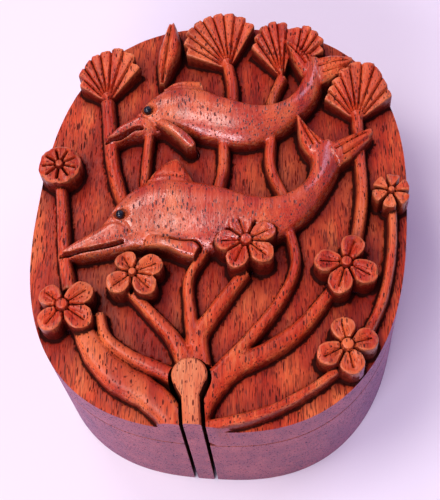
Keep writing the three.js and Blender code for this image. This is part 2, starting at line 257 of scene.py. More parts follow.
def oval_block(name, bottom, top, ease_bottom, ease_top):
    """The box's own plan between two heights, with its edges eased."""
    def ring(inset, z):
        return squared_oval(HALF_WIDTH, HALF_LENGTH, 0, OVAL_POINTS, inset), z

    rings = [ring(ease_bottom, bottom)]
    if ease_bottom:
        rings.append(ring(0, bottom + ease_bottom))
    if ease_top:
        rings.append(ring(0, top - ease_top))
    rings.append(ring(ease_top, top))
    return stacked_prism(name, rings)


def key_slot(bottom, top):
    plan = keyhole(SAW_KERF, SAW_KERF - KEY_SEAT_GAP)
    return plain_prism("slot", plan, bottom, top)


def peg_circle(radius):
    angles = np.linspace(0, 2 * math.pi, ROUND_POINTS, endpoint=False)
    return [(PEG_X + radius * math.cos(a), PEG_Y + radius * math.sin(a)) for a in angles]


def peg_hole(bottom, top):
    return plain_prism("hole", peg_circle(PEG_RADIUS + PEG_CLEARANCE), bottom, top)


# Lines and surfaces of the carving
def smooth_line(points, count):
    """Points at even steps along a smooth curve through the given ones."""
    span_points = 24
    given = np.array(points, float)
    padded = np.vstack([2 * given[0] - given[1], given, 2 * given[-1] - given[-2]])
    fine = []
    for i in range(len(given) - 1):
        p0, p1, p2, p3 = padded[i:i + 4]
        knots = [0.0]
        for a, b in ((p0, p1), (p1, p2), (p2, p3)):
            knots.append(knots[-1] + math.sqrt(max(np.linalg.norm(b - a), 1e-6)))
        t0, t1, t2, t3 = knots
        t = np.linspace(t1, t2, span_points, endpoint=False)[:, None]
        a1 = (t1 - t) / (t1 - t0) * p0 + (t - t0) / (t1 - t0) * p1
        a2 = (t2 - t) / (t2 - t1) * p1 + (t - t1) / (t2 - t1) * p2
        a3 = (t3 - t) / (t3 - t2) * p2 + (t - t2) / (t3 - t2) * p3
        b1 = (t2 - t) / (t2 - t0) * a1 + (t - t0) / (t2 - t0) * a2
        b2 = (t3 - t) / (t3 - t1) * a2 + (t - t1) / (t3 - t1) * a3
        fine.append((t2 - t) / (t2 - t1) * b1 + (t - t1) / (t2 - t1) * b2)
    fine = np.vstack(fine + [given[-1:]])
    reach = np.concatenate([[0], np.cumsum(np.linalg.norm(np.diff(fine, axis=0), axis=1))])
    steps = np.linspace(0, reach[-1], count)
    return np.stack([np.interp(steps, reach, fine[:, k]) for k in range(2)], axis=1)


def along(values, u):
    """Smooth values along u from 0 to 1 through a short list."""
    given = np.array(values, float)
    spacing, samples = 10.0, 200
    knots = np.stack([np.arange(len(given)) * spacing, given], axis=1)
    fine = smooth_line(knots, samples)
    return np.interp(u * knots[-1, 0], fine[:, 0], fine[:, 1])


def grid_solid(name, surface, root_depth=CARVING_DEPTH):
    """A closed solid under a grid of points, with straight sides to the root."""
    rows, columns, _ = surface.shape
    top = surface.reshape(-1, 3)
    root = top.copy()
    root[:, 2] = GROUND - root_depth
    size = rows * columns
    faces = []
    for i in range(rows - 1):
        for j in range(columns - 1):
            a = i * columns + j
            quad = [a, a + columns, a + columns + 1, a + 1]
            faces.append(quad)
            faces.append([k + size for k in quad[::-1]])
    rim = list(range(columns - 1))
    rim += [i * columns + columns - 1 for i in range(rows - 1)]
    rim += [(rows - 1) * columns + j for j in range(columns - 1, 0, -1)]
    rim += [i * columns for i in range(rows - 1, 0, -1)]
    for k, a in enumerate(rim):
        b = rim[(k + 1) % len(rim)]
        faces.append([a, b, b + size, a + size])
    return face_outwards(new_object(name, np.vstack([top, root]), faces))


def between(name, far, near, heights, profile):
    """A form between two edge lines that run the same way."""
    fewest_rows, samples = 12, 60
    length = np.linalg.norm(np.diff(smooth_line(far, samples), axis=0), axis=1).sum()
    rows = max(fewest_rows, int(length / FORM_STEP))
    far_line = smooth_line(far, rows)[:, None, :]
    near_line = smooth_line(near, rows)[:, None, :]
    u = np.linspace(0, 1, rows)
    place, share = profile
    across = ((1 + place) / 2)[None, :, None]
    plan = far_line + (near_line - far_line) * across
    height = along(heights, u)[:, None] * share[None, :]
    return grid_solid(name, np.dstack([plan, GROUND + height[:, :, None]]))


def round_section(columns, fullness, foot, lean):
    """A rounded back over low sides, with its crest moved towards the far edge."""
    angle = np.linspace(0, math.pi, columns)
    turned = np.cos(angle)
    place = -np.sign(turned) * np.abs(turned) ** (2 / fullness)
    return place - lean * (1 - place ** 2), foot + (1 - foot) * np.sin(angle) ** (2 / fullness)


def fin_section(columns, foot):
    """A level back that falls to low sides near its edges."""
    flatness = 4
    place = np.linspace(-1, 1, columns)
    return place, 1 - (1 - foot) * np.abs(place) ** flatness


# Dolphins
DOLPHINS = {
    "upper": {
        "back": [(-36.8, 20.8), (-33.5, 25.3), (-29.8, 28.2), (-28.5, 30), (-26.4, 33.8),
                 (-23.4, 37.4), (-19, 40.5), (-10, 40.5), (-5, 38.5), (0, 36.5), (6, 34.5),
                 (11, 34.3), (16, 36), (20, 40.5), (23, 49.5), (24, 54)],
        "belly": [(-35.8, 19), (-33.9, 19.1), (-30.2, 21.5), (-25.5, 22.6), (-21.8, 23.9), (-14, 24.5),
                  (-8, 23), (-3, 22), (3, 20.8), (8.5, 21.5), (14, 24), (20, 28.5), (25, 34.5),
                  (28.5, 41.5), (29, 48), (28.3, 54)],
        "heights": [6.4, 7.4, 8.3, 8.9, 9.2, 9.4, 9.2, 8.6, 7.8, 7],
    },
    "lower": {
        "back": [(-44.6, -19.4), (-41.4, -16.1), (-35.8, -11.7), (-33.4, -8.8), (-30.6, -2.5),
                 (-27.3, 1.7), (-23.6, 4.8), (-18, 7), (-10, 6.5), (0, 4.7), (8, 2), (14, 1.4),
                 (20, 3.3), (25, 8), (26.5, 14), (25.8, 20), (29.5, 23)],
        "belly": [(-43.6, -21.2), (-39.3, -21.4), (-33.8, -20), (-28.3, -18.5), (-22, -17),
                  (-14, -16.3), (-4, -16.5), (6, -15.5), (14, -13.5), (22, -8.5), (28, -2), (32, 5),
                  (35, 12.5), (36.3, 17.5), (34.5, 22.5)],
        "heights": [6.2, 7.2, 8.3, 9.1, 9.6, 9.8, 9.4, 8.8, 7.8, 6.6],
    },
}

# Back fins and tails: two edge lines and the heights along them
BROAD_FINS = [
    ([(-21.5, 40), (-17.6, 42.2), (-13.7, 43.2), (-10, 43.6)], [(-20, 37), (-14, 38.5), (-8, 38.6)],
     [6.6, 7.4, 6.6]),
    ([(-22.5, 5.5), (-19.6, 10), (-16.8, 12.6), (-14.6, 13.5)],
     [(-7.5, 4.5), (-9.4, 8), (-11.6, 11.2), (-13.4, 13.2)], [7.6, 7.4, 6.6]),
    ([(26, 54), (22.5, 57.5), (16, 61)], [(23.5, 45), (20, 50.5), (15.6, 60)], [7, 7.5, 7.3]),
    ([(24.5, 53.5), (30.5, 55.2), (37.4, 54.3)], [(28.5, 44.5), (33, 47.5), (38, 52.6)], [7, 7.6, 7.4]),
    ([(32.5, 22), (27.3, 25.7), (22, 31.4)], [(29, 13.5), (23, 21.5), (21.4, 30.4)], [6.8, 7.2, 7.2]),
    ([(31, 21.5), (37.5, 25), (44, 27.6)], [(35.5, 14.5), (40.5, 19), (45, 25.5)], [6.8, 7.4, 7.4]),
]

# Flippers: the edge next to the body, the free edge, and heights along them
FLIPPERS = [
    ([(-19.5, 27.6), (-15.5, 25.2), (-11.5, 22.4), (-9, 19.6), (-8.9, 18.2)],
     [(-22.2, 25.8), (-17.9, 22.9), (-14.2, 20.1), (-11.4, 17.6), (-9.8, 17.4)], [7.6, 8.6, 8.2, 7.6]),
    ([(-19, -12.2), (-13.5, -14.4), (-9.7, -15), (-5.6, -14.8), (-4, -16.2)],
     [(-20.5, -16.8), (-17, -17.2), (-13.1, -17.8), (-9.3, -19.3), (-5.4, -20)], [6.8, 8.3, 8.2, 7.4]),
]

# Leaf bud: its middle line, and widths and heights along it
LEAF_BUD = (
    [(-22.3, 42.5), (-22, 50), (-21, 57), (-21.6, 67.5)], [2, 5, 7, 5, 0.8], [5, 6.5, 7.8, 8.2, 7.6],
)


def flank_lines(line, widths):
    """The two edges of a form whose width varies along a middle line."""
    count = 40
    middle = smooth_line(line, count)
    heading = np.gradient(middle, axis=0)
    heading /= np.linalg.norm(heading, axis=1)[:, None]
    side = np.stack([-heading[:, 1], heading[:, 0]], axis=1)
    half = along(widths, np.linspace(0, 1, count))[:, None] / 2
    return middle + side * half, middle - side * half


def dolphin_forms():
    """Dolphins with their fins and flippers, and the leaf bud above them."""
    forms = []
    body = round_section(columns=48, fullness=2.1, foot=0.28, lean=0.26)
    for name, fish in DOLPHINS.items():
        forms.append(between(name, fish["back"], fish["belly"], fish["heights"], body))
    for far, near, heights in BROAD_FINS:
        forms.append(between("fin", far, near, heights, fin_section(columns=20, foot=0.72)))
    for inner, free, heights in FLIPPERS:
        forms.append(between("flipper", inner, free, heights, fin_section(columns=18, foot=0.8)))
    line, widths, heights = LEAF_BUD
    left, right = flank_lines(line, widths)
    forms.append(between("bud", left[::4], right[::4], heights, fin_section(columns=20, foot=0.6)))
    return forms


# Sea fans: root, first and last direction, reach at even steps, number of ribs
SEA_FANS = [
    ((-38.9, 35.6), 156, 54, [9, 14.8, 16.2, 18.4, 14], 8),
    ((-1.5, 50.8), 168, 66, [13.4, 17.9, 18.7, 18.9, 16.8], 9),
    ((16, 47.5), 137, 80, [13.8, 16.6, 19.2, 19.2, 17], 6),
    ((19.5, 52), 98, 28, [13.3, 14, 12.7, 11.8, 9], 5),
    ((40.1, 32.4), 150, 38, [11.6, 14.2, 18.9, 18.2, 12.3], 9),
]

# Flowers: centre, button radius, lift, petals as (direction, reach, width).
# A flower with six petals or more has narrow ones.
MANY_PETALS = 6


def even_petals(count, first, reach, width):
    return [(first + 360 * i / count, reach, width) for i in range(count)]


FLOWERS = [
    ((-49.8, 9.3), 1.2, 0, even_petals(9, 10, 6.6, 4.9)),
    ((-41.3, -37.5), 1.8, 0, [(146, 8, 6.6), (40, 10, 7), (239, 9, 7), (329, 10.2, 7.4)]),
    ((-22.5, -26), 1.2, 0, [(124, 7.2, 6.4), (27, 9.2, 6.8), (222, 8.5, 7), (319, 8.8, 6.6)]),
    ((9.5, -14.3), 1.7, 1.6,
     [(112, 9, 6.6), (31, 9.3, 6), (323, 9.6, 6.8), (250, 9.6, 6.4), (186, 9.2, 6.6)]),
    ((38.5, -19), 1.6, 0, [(73, 9.2, 6.8), (180, 9.2, 7), (257, 10.2, 7), (332, 9.8, 7.4)]),
    ((39.8, -44.4), 1.8, 0, [(106, 8.4, 6.8), (20, 8.7, 6.8), (285, 8.7, 7), (212, 9.2, 6.8)]),
    ((50.8, 5.5), 1.0, 0, even_petals(6, 25, 5.6, 4.6)),
]

# Stems: a line and its widths, from the flower to the key
STEMS = [
    ([(-49, 3), (-46.5, -9), (-44, -21), (-41, -31)], [3.6, 4.4]),
    ([(-37, -40), (-30.5, -50), (-23, -56.5), (-14, -61), (-7, -67), (-4, -74)], [5, 8, 9.5, 9, 7]),
    ([(-31, -38), (-28, -45), (-21, -50), (-11, -54), (-4, -57)], [3, 4.4, 5]),
    ([(-22.5, -31), (-15, -38), (-9, -44), (-4, -52)], [3.4, 4.4, 6]),
    ([(-2.5, -16), (-6.5, -25), (-5, -36), (-3, -46)], [3, 3.6, 4.4]),
    ([(9.5, -22), (2, -35), (-1.8, -43), (-0.5, -52)], [4, 5, 6.5]),
    ([(21.5, -7), (24, -19), (20, -31), (12, -43.5), (3, -55)], [3.2, 3.6, 4.6]),
    ([(35, -26), (27, -38), (18, -46), (8, -52), (2.5, -60), (0, -69)], [3.6, 5, 6, 7, 5.4]),
    ([(38, -50), (30.5, -56.5), (18.5, -64), (0, -70)], [2.6, 3.2, 3.8]),
    ([(51.5, 2), (51.5, -13), (49, -29), (44, -42)], [2.9, 3.2]),
    ([(40, 34), (41.2, 20), (42.5, 5), (41, -12)], [3.8, 4]),
    ([(-39.3, 36), (-37, 25), (-34.5, 13), (-30.5, 2), (-27.5, -4)], [4.6, 4.4]),
    ([(-24, 26), (-24, 15), (-23.3, 4)], [3.4, 3.2]),
    ([(-1.8, 51.5), (0, 44), (1, 34)], [4, 3.8]),
    ([(-0.8, 23), (0, 13), (-1, 3)], [3.9, 3.8]),
    ([(15.8, 48), (14, 42), (12, 33)], [3.7, 3.6]),
    ([(13.8, 25), (14.5, 14), (20, 2)], [3.6, 3.8]),
]


# Geometry Nodes helpers
def new_tree(name, inputs):
    tree = bpy.data.node_groups.new(name, "GeometryNodeTree")
    tree.is_modifier = True
    tree.interface.new_socket("Geometry", in_out="INPUT", socket_type="NodeSocketGeometry")
    for label, kind, default in inputs:
        socket = tree.interface.new_socket(label, in_out="INPUT", socket_type="NodeSocket" + kind)
        if default is not None:
            socket.default_value = default
    tree.interface.new_socket("Geometry", in_out="OUTPUT", socket_type="NodeSocketGeometry")
    return tree


def add_node(tree, kind, settings=None, **links):
    """Adds a node, sets its settings and fills or links its inputs by name."""
    made = tree.nodes.new(kind)
    for key, value in (settings or {}).items():
        setattr(made, key, value)
    for key, value in links.items():
        name = key.replace("_", " ")
        socket = made.inputs[int(key[1:])] if key[1:].isdigit() else made.inputs[name]
        if isinstance(value, bpy.types.NodeSocket):
            tree.links.new(value, socket)
        else:
            socket.default_value = value
    return made


def run_tree(piece, tree, **values):
    """Applies a tree to a piece with its named inputs, as a plain mesh."""
    step = piece.modifiers.new(tree.name, "NODES")
    step.node_group = tree
    for item in tree.interface.items_tree:
        if item.item_type == "SOCKET" and item.in_out == "INPUT" and item.name in values:
            step[item.identifier] = values[item.name]
    return settle(piece)


# Stems: a rounded ridge swept along each stem's line
def ridge_section():
    """Half a rounded bar over a straight foot, one unit wide each way."""
    flank, crown, spring, foot = 0.72, 0.8, 0.15, 0.7
    angles = np.linspace(0.0, math.pi, 19)[1:-1]
    points = [(math.copysign(abs(math.cos(a)) ** flank, math.cos(a)),
               -spring - (1 - spring) * math.sin(a) ** crown) for a in angles]
    points += [(-1, foot), (1, foot)]
    vertices = [(x, y, 0) for x, y in points]
    mesh = bpy.data.meshes.new("stem_section")
    mesh.from_pydata(vertices, [(i, (i + 1) % len(vertices)) for i in range(len(vertices))], [])
    return placed("stem_section", mesh)


def stem_tree():
    tree = new_tree("stem_sweep", [
        ("Section", "Object", None),
        ("Ground", "Float", GROUND),
        ("Height", "Float", STEM_HEIGHT),
        ("Step", "Float", 0.6),
        ("Waver", "Float", 0.25),
        ("Waver length", "Float", 4.0),
        ("Seed", "Float", 3.0),
        ("Wood", "Material", None),
    ])
    given = add_node(tree, "NodeGroupInput").outputs
    width = add_node(tree, "GeometryNodeInputNamedAttribute", {"data_type": "FLOAT"}, Name="half_width")
    line = add_node(tree, "GeometryNodeMeshToCurve", Mesh=given["Geometry"])
    smooth = add_node(tree, "GeometryNodeResampleCurve", {"mode": "LENGTH"},
                      Curve=line.outputs["Curve"], Length=given["Step"])
    place = add_node(tree, "GeometryNodeInputPosition")
    pace = add_node(tree, "ShaderNodeMath", {"operation": "DIVIDE"}, i0=1.0, i1=given["Waver length"])
    wobble = add_node(tree, "ShaderNodeTexNoise", {"noise_dimensions": "4D"},
                      Vector=place.outputs[0], W=given["Seed"], Scale=pace.outputs[0], Detail=1.0)
    off = add_node(tree, "ShaderNodeMath", {"operation": "SUBTRACT"}, i0=wobble.outputs["Fac"], i1=0.5)
    sway = add_node(tree, "ShaderNodeMath", {"operation": "MULTIPLY"}, i0=off.outputs[0], i1=given["Waver"])
    uneven = add_node(tree, "ShaderNodeMath", {"operation": "MULTIPLY_ADD"},
                      i0=width.outputs["Attribute"], i1=sway.outputs[0], i2=width.outputs["Attribute"])
    keep = add_node(tree, "GeometryNodeCaptureAttribute", Geometry=smooth.outputs["Curve"])
    keep.capture_items.new("FLOAT", "Width")
    tree.links.new(uneven.outputs[0], keep.inputs["Width"])
    section = add_node(tree, "GeometryNodeObjectInfo", Object=given["Section"])
    outline = add_node(tree, "GeometryNodeMeshToCurve", Mesh=section.outputs["Geometry"])
    swept = add_node(tree, "GeometryNodeCurveToMesh", Curve=keep.outputs["Geometry"],
                     Profile_Curve=outline.outputs["Curve"], Scale=keep.outputs["Width"], Fill_Caps=True)
    here = add_node(tree, "GeometryNodeInputPosition")
    parts = add_node(tree, "ShaderNodeSeparateXYZ", Vector=here.outputs[0])
    share = add_node(tree, "ShaderNodeMath", {"operation": "DIVIDE"},
                     i0=parts.outputs["Z"], i1=keep.outputs["Width"])
    raised = add_node(tree, "ShaderNodeMath", {"operation": "MULTIPLY_ADD"},
                      i0=share.outputs[0], i1=given["Height"], i2=given["Ground"])
    spot = add_node(tree, "ShaderNodeCombineXYZ", X=parts.outputs["X"], Y=parts.outputs["Y"],
                    Z=raised.outputs[0])
    shaped = add_node(tree, "GeometryNodeSetPosition", Geometry=swept.outputs["Mesh"],
                      Position=spot.outputs[0])
    finish_tree(tree, shaped.outputs["Geometry"], given["Wood"])
    return tree


def finish_tree(tree, geometry, material):
    real = add_node(tree, "GeometryNodeRealizeInstances", Geometry=geometry)
    coated = add_node(tree, "GeometryNodeSetMaterial", Geometry=real.outputs["Geometry"], Material=material)
    out = add_node(tree, "NodeGroupOutput")
    tree.links.new(coated.outputs["Geometry"], out.inputs["Geometry"])


def line_object(name, lines, widths=None):
    """Polylines as one mesh of edges, with the half width stored on each point."""
    vertices, edges, halves = [], [], []
    for index, line in enumerate(lines):
        start = len(vertices)
        vertices += [(x, y, 0) for x, y in line]
        edges += [(start + i, start + i + 1) for i in range(len(line) - 1)]
        if widths:
            halves += list(along(widths[index], np.linspace(0, 1, len(line))) / 2)
    mesh = bpy.data.meshes.new(name)
    mesh.from_pydata(vertices, edges, [])
    if widths:
        mesh.attributes.new("half_width", "FLOAT", "POINT").data.foreach_set("value", halves)
    return placed(name, mesh)


def stem_forms(wood):
    section = ridge_section()
    lines = [smooth_line(line, 30) for line, _ in STEMS]
    stems = line_object("stems", lines, [widths for _, widths in STEMS])
    run_tree(stems, stem_tree(), Section=section, Wood=wood)
    drop(section)
    return face_outwards(stems)


# Petals, buttons and fan ribs: one form each, set round many centres
def unit_petal(outline):
    """A petal one unit long and wide: two facets that slope to its crease."""
    rows, columns = 26, 23
    crease_depth, taper, start = 0.75, 0.55, 0.06
    tip, tip_droop, rim_fall = 0.8, 0.5, 0.35
    surface = np.zeros((rows, columns, 3))
    for i, u in enumerate(np.linspace(0, 1, rows)):
        valley = crease_depth * (1 - taper * u)
        droop = tip_droop * max(0, u - tip) / (1 - tip)
        for j, v in enumerate(np.linspace(-1, 1, columns)):
            facet = valley * (abs(v) ** 0.8 - rim_fall * abs(v) ** 6)
            surface[i, j] = (start + (1 - start) * u, v * outline(u) / 2, facet - droop + GROUND)
    return grid_solid("petal", surface, CARVING_DEPTH + FLOWER_HEIGHT)


def round_outline(u):
    """Width of a broad petal: narrow at its root, with a round tip."""
    root, tip, tip_length, blunt = 0.16, 0.72, 0.295, 0.05
    width = root + (1 - root) * math.sin(math.pi * min(1, 0.06 + 0.72 * u)) ** 1.1
    if u > tip:
        width *= math.sqrt(max(blunt, 1 - ((u - tip) / tip_length) ** 2))
    return width


def wedge_outline(u):
    """Width of a narrow petal: a straight wedge with a blunt end."""
    root, tip, tip_length, blunt = 0.06, 0.86, 0.15, 0.3
    return (root + (1 - root) * u) * math.sqrt(max(blunt, 1 - (max(0, u - tip) / tip_length) ** 2))


def unit_rib():
    """One rib of a sea fan: a wedge with a rounded back and a lobed end."""
    rows, columns = 30, 15
    start, lobe, lean = 0.05, 0.018, 0.3
    groove_root, groove_growth = 0.16, 0.42
    surface = np.zeros((rows, columns, 3))
    for i, u in enumerate(np.linspace(0, 1, rows)):
        rise = FAN_ROOT_HEIGHT + (FAN_RIM_HEIGHT - FAN_ROOT_HEIGHT) * u ** 0.8
        groove = groove_root + groove_growth * u
        for j, v in enumerate(np.linspace(-1, 1, columns)):
            reach = (start + (1 - start) * u) * (1 - lobe * v * v * u)
            facet = groove * abs(v) ** 4 + lean * u * v
            surface[i, j] = (reach, v * reach / 2, GROUND + rise - facet)
    return grid_solid("rib", surface)


def unit_button():
    """The round middle of a flower, with a sloped rim."""
    flat_share, rim, top = 0.74, 0.55, 0.95
    plan = [(math.cos(a), math.sin(a)) for a in np.linspace(0, 2 * math.pi, 40, endpoint=False)]
    inner = [(flat_share * x, flat_share * y) for x, y in plan]
    root = GROUND - CARVING_DEPTH - FLOWER_HEIGHT
    return stacked_prism("button", [(plan, root), (plan, GROUND + rim), (inner, GROUND + top)])


def copies_tree():
    tree = new_tree("carved_copies", [("Form", "Object", None), ("Wood", "Material", None)])
    given = add_node(tree, "NodeGroupInput").outputs
    form = add_node(tree, "GeometryNodeObjectInfo", Object=given["Form"])
    direction = add_node(tree, "GeometryNodeInputNamedAttribute", {"data_type": "FLOAT"}, Name="direction")
    stretch = add_node(tree, "GeometryNodeInputNamedAttribute", {"data_type": "FLOAT_VECTOR"},
                       Name="stretch")
    turn = add_node(tree, "ShaderNodeCombineXYZ", Z=direction.outputs["Attribute"])
    copies = add_node(tree, "GeometryNodeInstanceOnPoints", Points=given["Geometry"],
                      Instance=form.outputs["Geometry"], Rotation=turn.outputs[0],
                      Scale=stretch.outputs["Attribute"])
    finish_tree(tree, copies.outputs["Instances"], given["Wood"])
    return tree


def copies(name, tree, form, places, wood):
    """The form set at each place: (x, y, lift, direction, length, width)."""
    mesh = bpy.data.meshes.new(name)
    mesh.from_pydata([(x, y, lift) for x, y, lift, *_ in places], [], [])
    turns = mesh.attributes.new("direction", "FLOAT", "POINT")
    turns.data.foreach_set("value", [math.radians(p[3]) for p in places])
    sizes = mesh.attributes.new("stretch", "FLOAT_VECTOR", "POINT")
    sizes.data.foreach_set("vector", [value for p in places for value in (p[4], p[5], 1.0)])
    made = run_tree(placed(name, mesh), tree, Form=form, Wood=wood)
    drop(form)
    return made


def repeated_forms(wood):
    edge_drop, overlap = 2.5, 1.12
    tree = copies_tree()
    petals, wedges, buttons, ribs = [], [], [], []
    for (x, y), button, lift, group in FLOWERS:
        top = FLOWER_HEIGHT + lift
        buttons.append((x, y, top, 0, button, button))
        for direction, reach, width in group:
            kind = petals if len(group) < MANY_PETALS else wedges
            kind.append((x, y, top, direction, reach, width))
    for (x, y), first, last, reach, count in SEA_FANS:
        share = (np.arange(count) + 0.5) / count
        spread = math.radians(abs(first - last)) / count
        for u, length in zip(share, along(reach, share)):
            lift = -edge_drop * (2 * u - 1) ** 2
            ribs.append((x, y, lift, first + (last - first) * u, length, length * spread * overlap))
    return [
        copies("petals", tree, unit_petal(round_outline), petals, wood),
        copies("wedges", tree, unit_petal(wedge_outline), wedges, wood),
        copies("buttons", tree, unit_button(), buttons, wood),
        copies("ribs", tree, unit_rib(), ribs, wood),
    ]


# Knife cuts: creases along lines, sunk into the fused carving
def knife_tree():
    tree = new_tree("knife_cuts", [
        ("Lines", "Object", None),
        ("Width", "Float", 0.6),
        ("Depth", "Float", 0.8),
        ("Wood", "Material", None),
    ])
    given = add_node(tree, "NodeGroupInput").outputs
    lines = add_node(tree, "GeometryNodeObjectInfo", Object=given["Lines"])
    place = add_node(tree, "GeometryNodeInputPosition")
    parts = add_node(tree, "ShaderNodeSeparateXYZ", Vector=place.outputs[0])
    flat = add_node(tree, "ShaderNodeCombineXYZ", X=parts.outputs["X"], Y=parts.outputs["Y"])
    near = add_node(tree, "GeometryNodeProximity", {"target_element": "EDGES"},
                    Geometry=lines.outputs["Geometry"], Sample_Position=flat.outputs[0])
    bite = add_node(tree, "ShaderNodeMapRange", {"interpolation_type": "SMOOTHERSTEP"},
                    Value=near.outputs["Distance"], i1=0.0, i2=given["Width"],
                    i3=given["Depth"], i4=0.0)
    down = add_node(tree, "ShaderNodeMath", {"operation": "MULTIPLY"}, i0=bite.outputs["Result"], i1=-1.0)
    offset = add_node(tree, "ShaderNodeCombineXYZ", Z=down.outputs[0])
    cut = add_node(tree, "GeometryNodeSetPosition", Geometry=given["Geometry"], Offset=offset.outputs[0])
    finish_tree(tree, cut.outputs["Geometry"], given["Wood"])
    return tree


def gouge_tree():
    """Low scoops left by the gouge on the ground, and a slight waver elsewhere."""
    tree = new_tree("gouge_marks", [
        ("Ground", "Float", GROUND),
        ("Scoop width", "Float", 3.0),
        ("Scoop depth", "Float", 0.22),
        ("Scoop rim", "Float", 0.35),
        ("Waver", "Float", 0.16),
        ("Seed", "Float", 5.0),
        ("Wood", "Material", None),
    ])
    given = add_node(tree, "NodeGroupInput").outputs
    place = add_node(tree, "GeometryNodeInputPosition")
    facing = add_node(tree, "GeometryNodeInputNormal")
    parts = add_node(tree, "ShaderNodeSeparateXYZ", Vector=place.outputs[0])
    pace = add_node(tree, "ShaderNodeMath", {"operation": "DIVIDE"}, i0=1.0, i1=given["Scoop width"])
    long_way = add_node(tree, "ShaderNodeVectorMath", {"operation": "MULTIPLY"},
                        i0=place.outputs[0], i1=(1.0, 0.55, 1.0))
    cells = add_node(tree, "ShaderNodeTexVoronoi", {"voronoi_dimensions": "4D"},
                     Vector=long_way.outputs[0], W=given["Seed"], Scale=pace.outputs[0])
    bowl = add_node(tree, "ShaderNodeMath", {"operation": "POWER"}, i0=cells.outputs["Distance"], i1=2.0)
    low = add_node(tree, "ShaderNodeMath", {"operation": "SUBTRACT"},
                   i0=bowl.outputs[0], i1=given["Scoop rim"])
    above = add_node(tree, "ShaderNodeMath", {"operation": "SUBTRACT"},
                     i0=parts.outputs["Z"], i1=given["Ground"])
    nearness = add_node(tree, "ShaderNodeMapRange",
                        Value=above.outputs[0], i1=0.3, i2=GROUND_MARGIN, i3=1.0, i4=0.0)
    scoop = add_node(tree, "ShaderNodeMath", {"operation": "MULTIPLY"},
                     i0=low.outputs[0], i1=nearness.outputs["Result"])
    scooped = add_node(tree, "ShaderNodeMath", {"operation": "MULTIPLY"},
                       i0=scoop.outputs[0], i1=given["Scoop depth"])
    noise = add_node(tree, "ShaderNodeTexNoise", {"noise_dimensions": "4D"},
                     Vector=place.outputs[0], W=given["Seed"], Scale=0.45, Detail=2.0)
    even = add_node(tree, "ShaderNodeMath", {"operation": "SUBTRACT"}, i0=noise.outputs["Fac"], i1=0.5)
    shift = add_node(tree, "ShaderNodeMath", {"operation": "MULTIPLY_ADD"},
                     i0=even.outputs[0], i1=given["Waver"], i2=scooped.outputs[0])
    offset = add_node(tree, "ShaderNodeVectorMath", {"operation": "SCALE"},
                      i0=facing.outputs[0], Scale=shift.outputs[0])
    marked = add_node(tree, "GeometryNodeSetPosition", Geometry=given["Geometry"], Offset=offset.outputs[0])
    finish_tree(tree, marked.outputs["Geometry"], given["Wood"])
    return tree


EYES = {}
for which in ("upper", "lower"):
    eye_low, eye_high = frame_box("eye_inlay_" + which)
    EYES[which] = ((eye_low + eye_high) / 2, (eye_high.z - eye_low.z) / 2)

# Slits between the jaws, brows, and the grooves in fins and leaf
MOUTHS = [
    [(-37, 19.6), (-33.5, 20.7), (-31.1, 22.4), (-28.5, 23.9), (-26.2, 24.4)],
    [(-45, -20.9), (-42.1, -20.4), (-37.9, -19.1), (-33.9, -18), (-29.9, -16.8), (-27, -15.7)],
]
BROWS = [
    [(-31, 27.6), (-28.6, 28.3), (-26.4, 28.2), (-23.6, 27.2), (-21.8, 25)],
    [(-35.4, -12), (-32.6, -10.4), (-30, -9.8), (-27, -10.6), (-25.4, -12.6)],
]
FIN_GROOVES = [
    [(17.5, 58.3), (20.5, 55), (23, 51.5)],
    [(21.3, 57.2), (23.3, 54.6), (24.3, 52.4)],
    [(27.5, 50.5), (31.5, 52), (36, 53)],
    [(29, 48.2), (32.5, 49.7), (35.8, 51)],
    [(23, 28.8), (24.8, 25), (27, 21)],
    [(25.5, 26.4), (27.3, 23.8), (29, 21.3)],
    [(34, 19.8), (38, 22.6), (42.8, 25.8)],
    [(36.5, 18), (40, 20.8), (43.4, 24)],
]
LEAF_CREASE = [[(-22.2, 43.5), (-22, 50), (-21.6, 58), (-21.6, 66.5)]]
FIN_ROOTS = [
    [(-21.5, 39.6), (-16, 40.9), (-9.6, 40.6)],
    [(-22.5, 6.4), (-17, 7.4), (-9, 6.4)],
]


def spoke(centre, direction, near, far):
    c, s = math.cos(math.radians(direction)), math.sin(math.radians(direction))
    return [(centre[0] + r * c, centre[1] + r * s) for r in (near, (near + far) / 2, far)]


def petal_creases():
    return [spoke(centre, direction, button + 0.5, reach * 0.78)
            for centre, button, _, group in FLOWERS if len(group) < MANY_PETALS
            for direction, reach, _ in group]


def petal_veins():
    """Two short cuts beside the crease of each broad petal."""
    return [spoke(centre, direction + side * 13, button + 1.4, reach * 0.66)
            for centre, button, _, group in FLOWERS if len(group) < MANY_PETALS
            for direction, reach, _ in group for side in (-1, 1)]


def petal_partings():
    lines = []
    for centre, button, _, group in FLOWERS:
        ways = sorted(direction % 360 for direction, _, _ in group)
        for first, second in zip(ways, ways[1:] + [ways[0] + 360]):
            lines.append(spoke(centre, (first + second) / 2, button + 0.4, group[0][1] * 0.75))
    return lines


def button_rings():
    turn = np.linspace(0, 2 * math.pi, 17)
    return [[(x + (button + 0.25) * math.cos(a), y + (button + 0.25) * math.sin(a)) for a in turn]
            for (x, y), button, _, _ in FLOWERS]


def fan_grooves():
    lines = []
    for centre, first, last, reach, count in SEA_FANS:
        share = np.arange(1, count) / count
        for u, length in zip(share, along(reach, share)):
            lines.append(spoke(centre, first + (last - first) * u, 3.2, length * 0.99))
    return lines


def eye_rims():
    """An almond-shaped cut round each eye's dish."""
    turn = np.linspace(0, 2 * math.pi, 25)
    return [[(centre.x + 2.0 * radius * math.cos(a), centre.y + 1.5 * radius * math.sin(a)) for a in turn]
            for centre, radius in EYES.values()]


def flipper_partings():
    """Cuts that part each flipper from the body, just outside its inner edge."""
    return [[(x + 0.35, y + 0.45) for x, y in inner[1:]] for inner, _, _ in FLIPPERS]


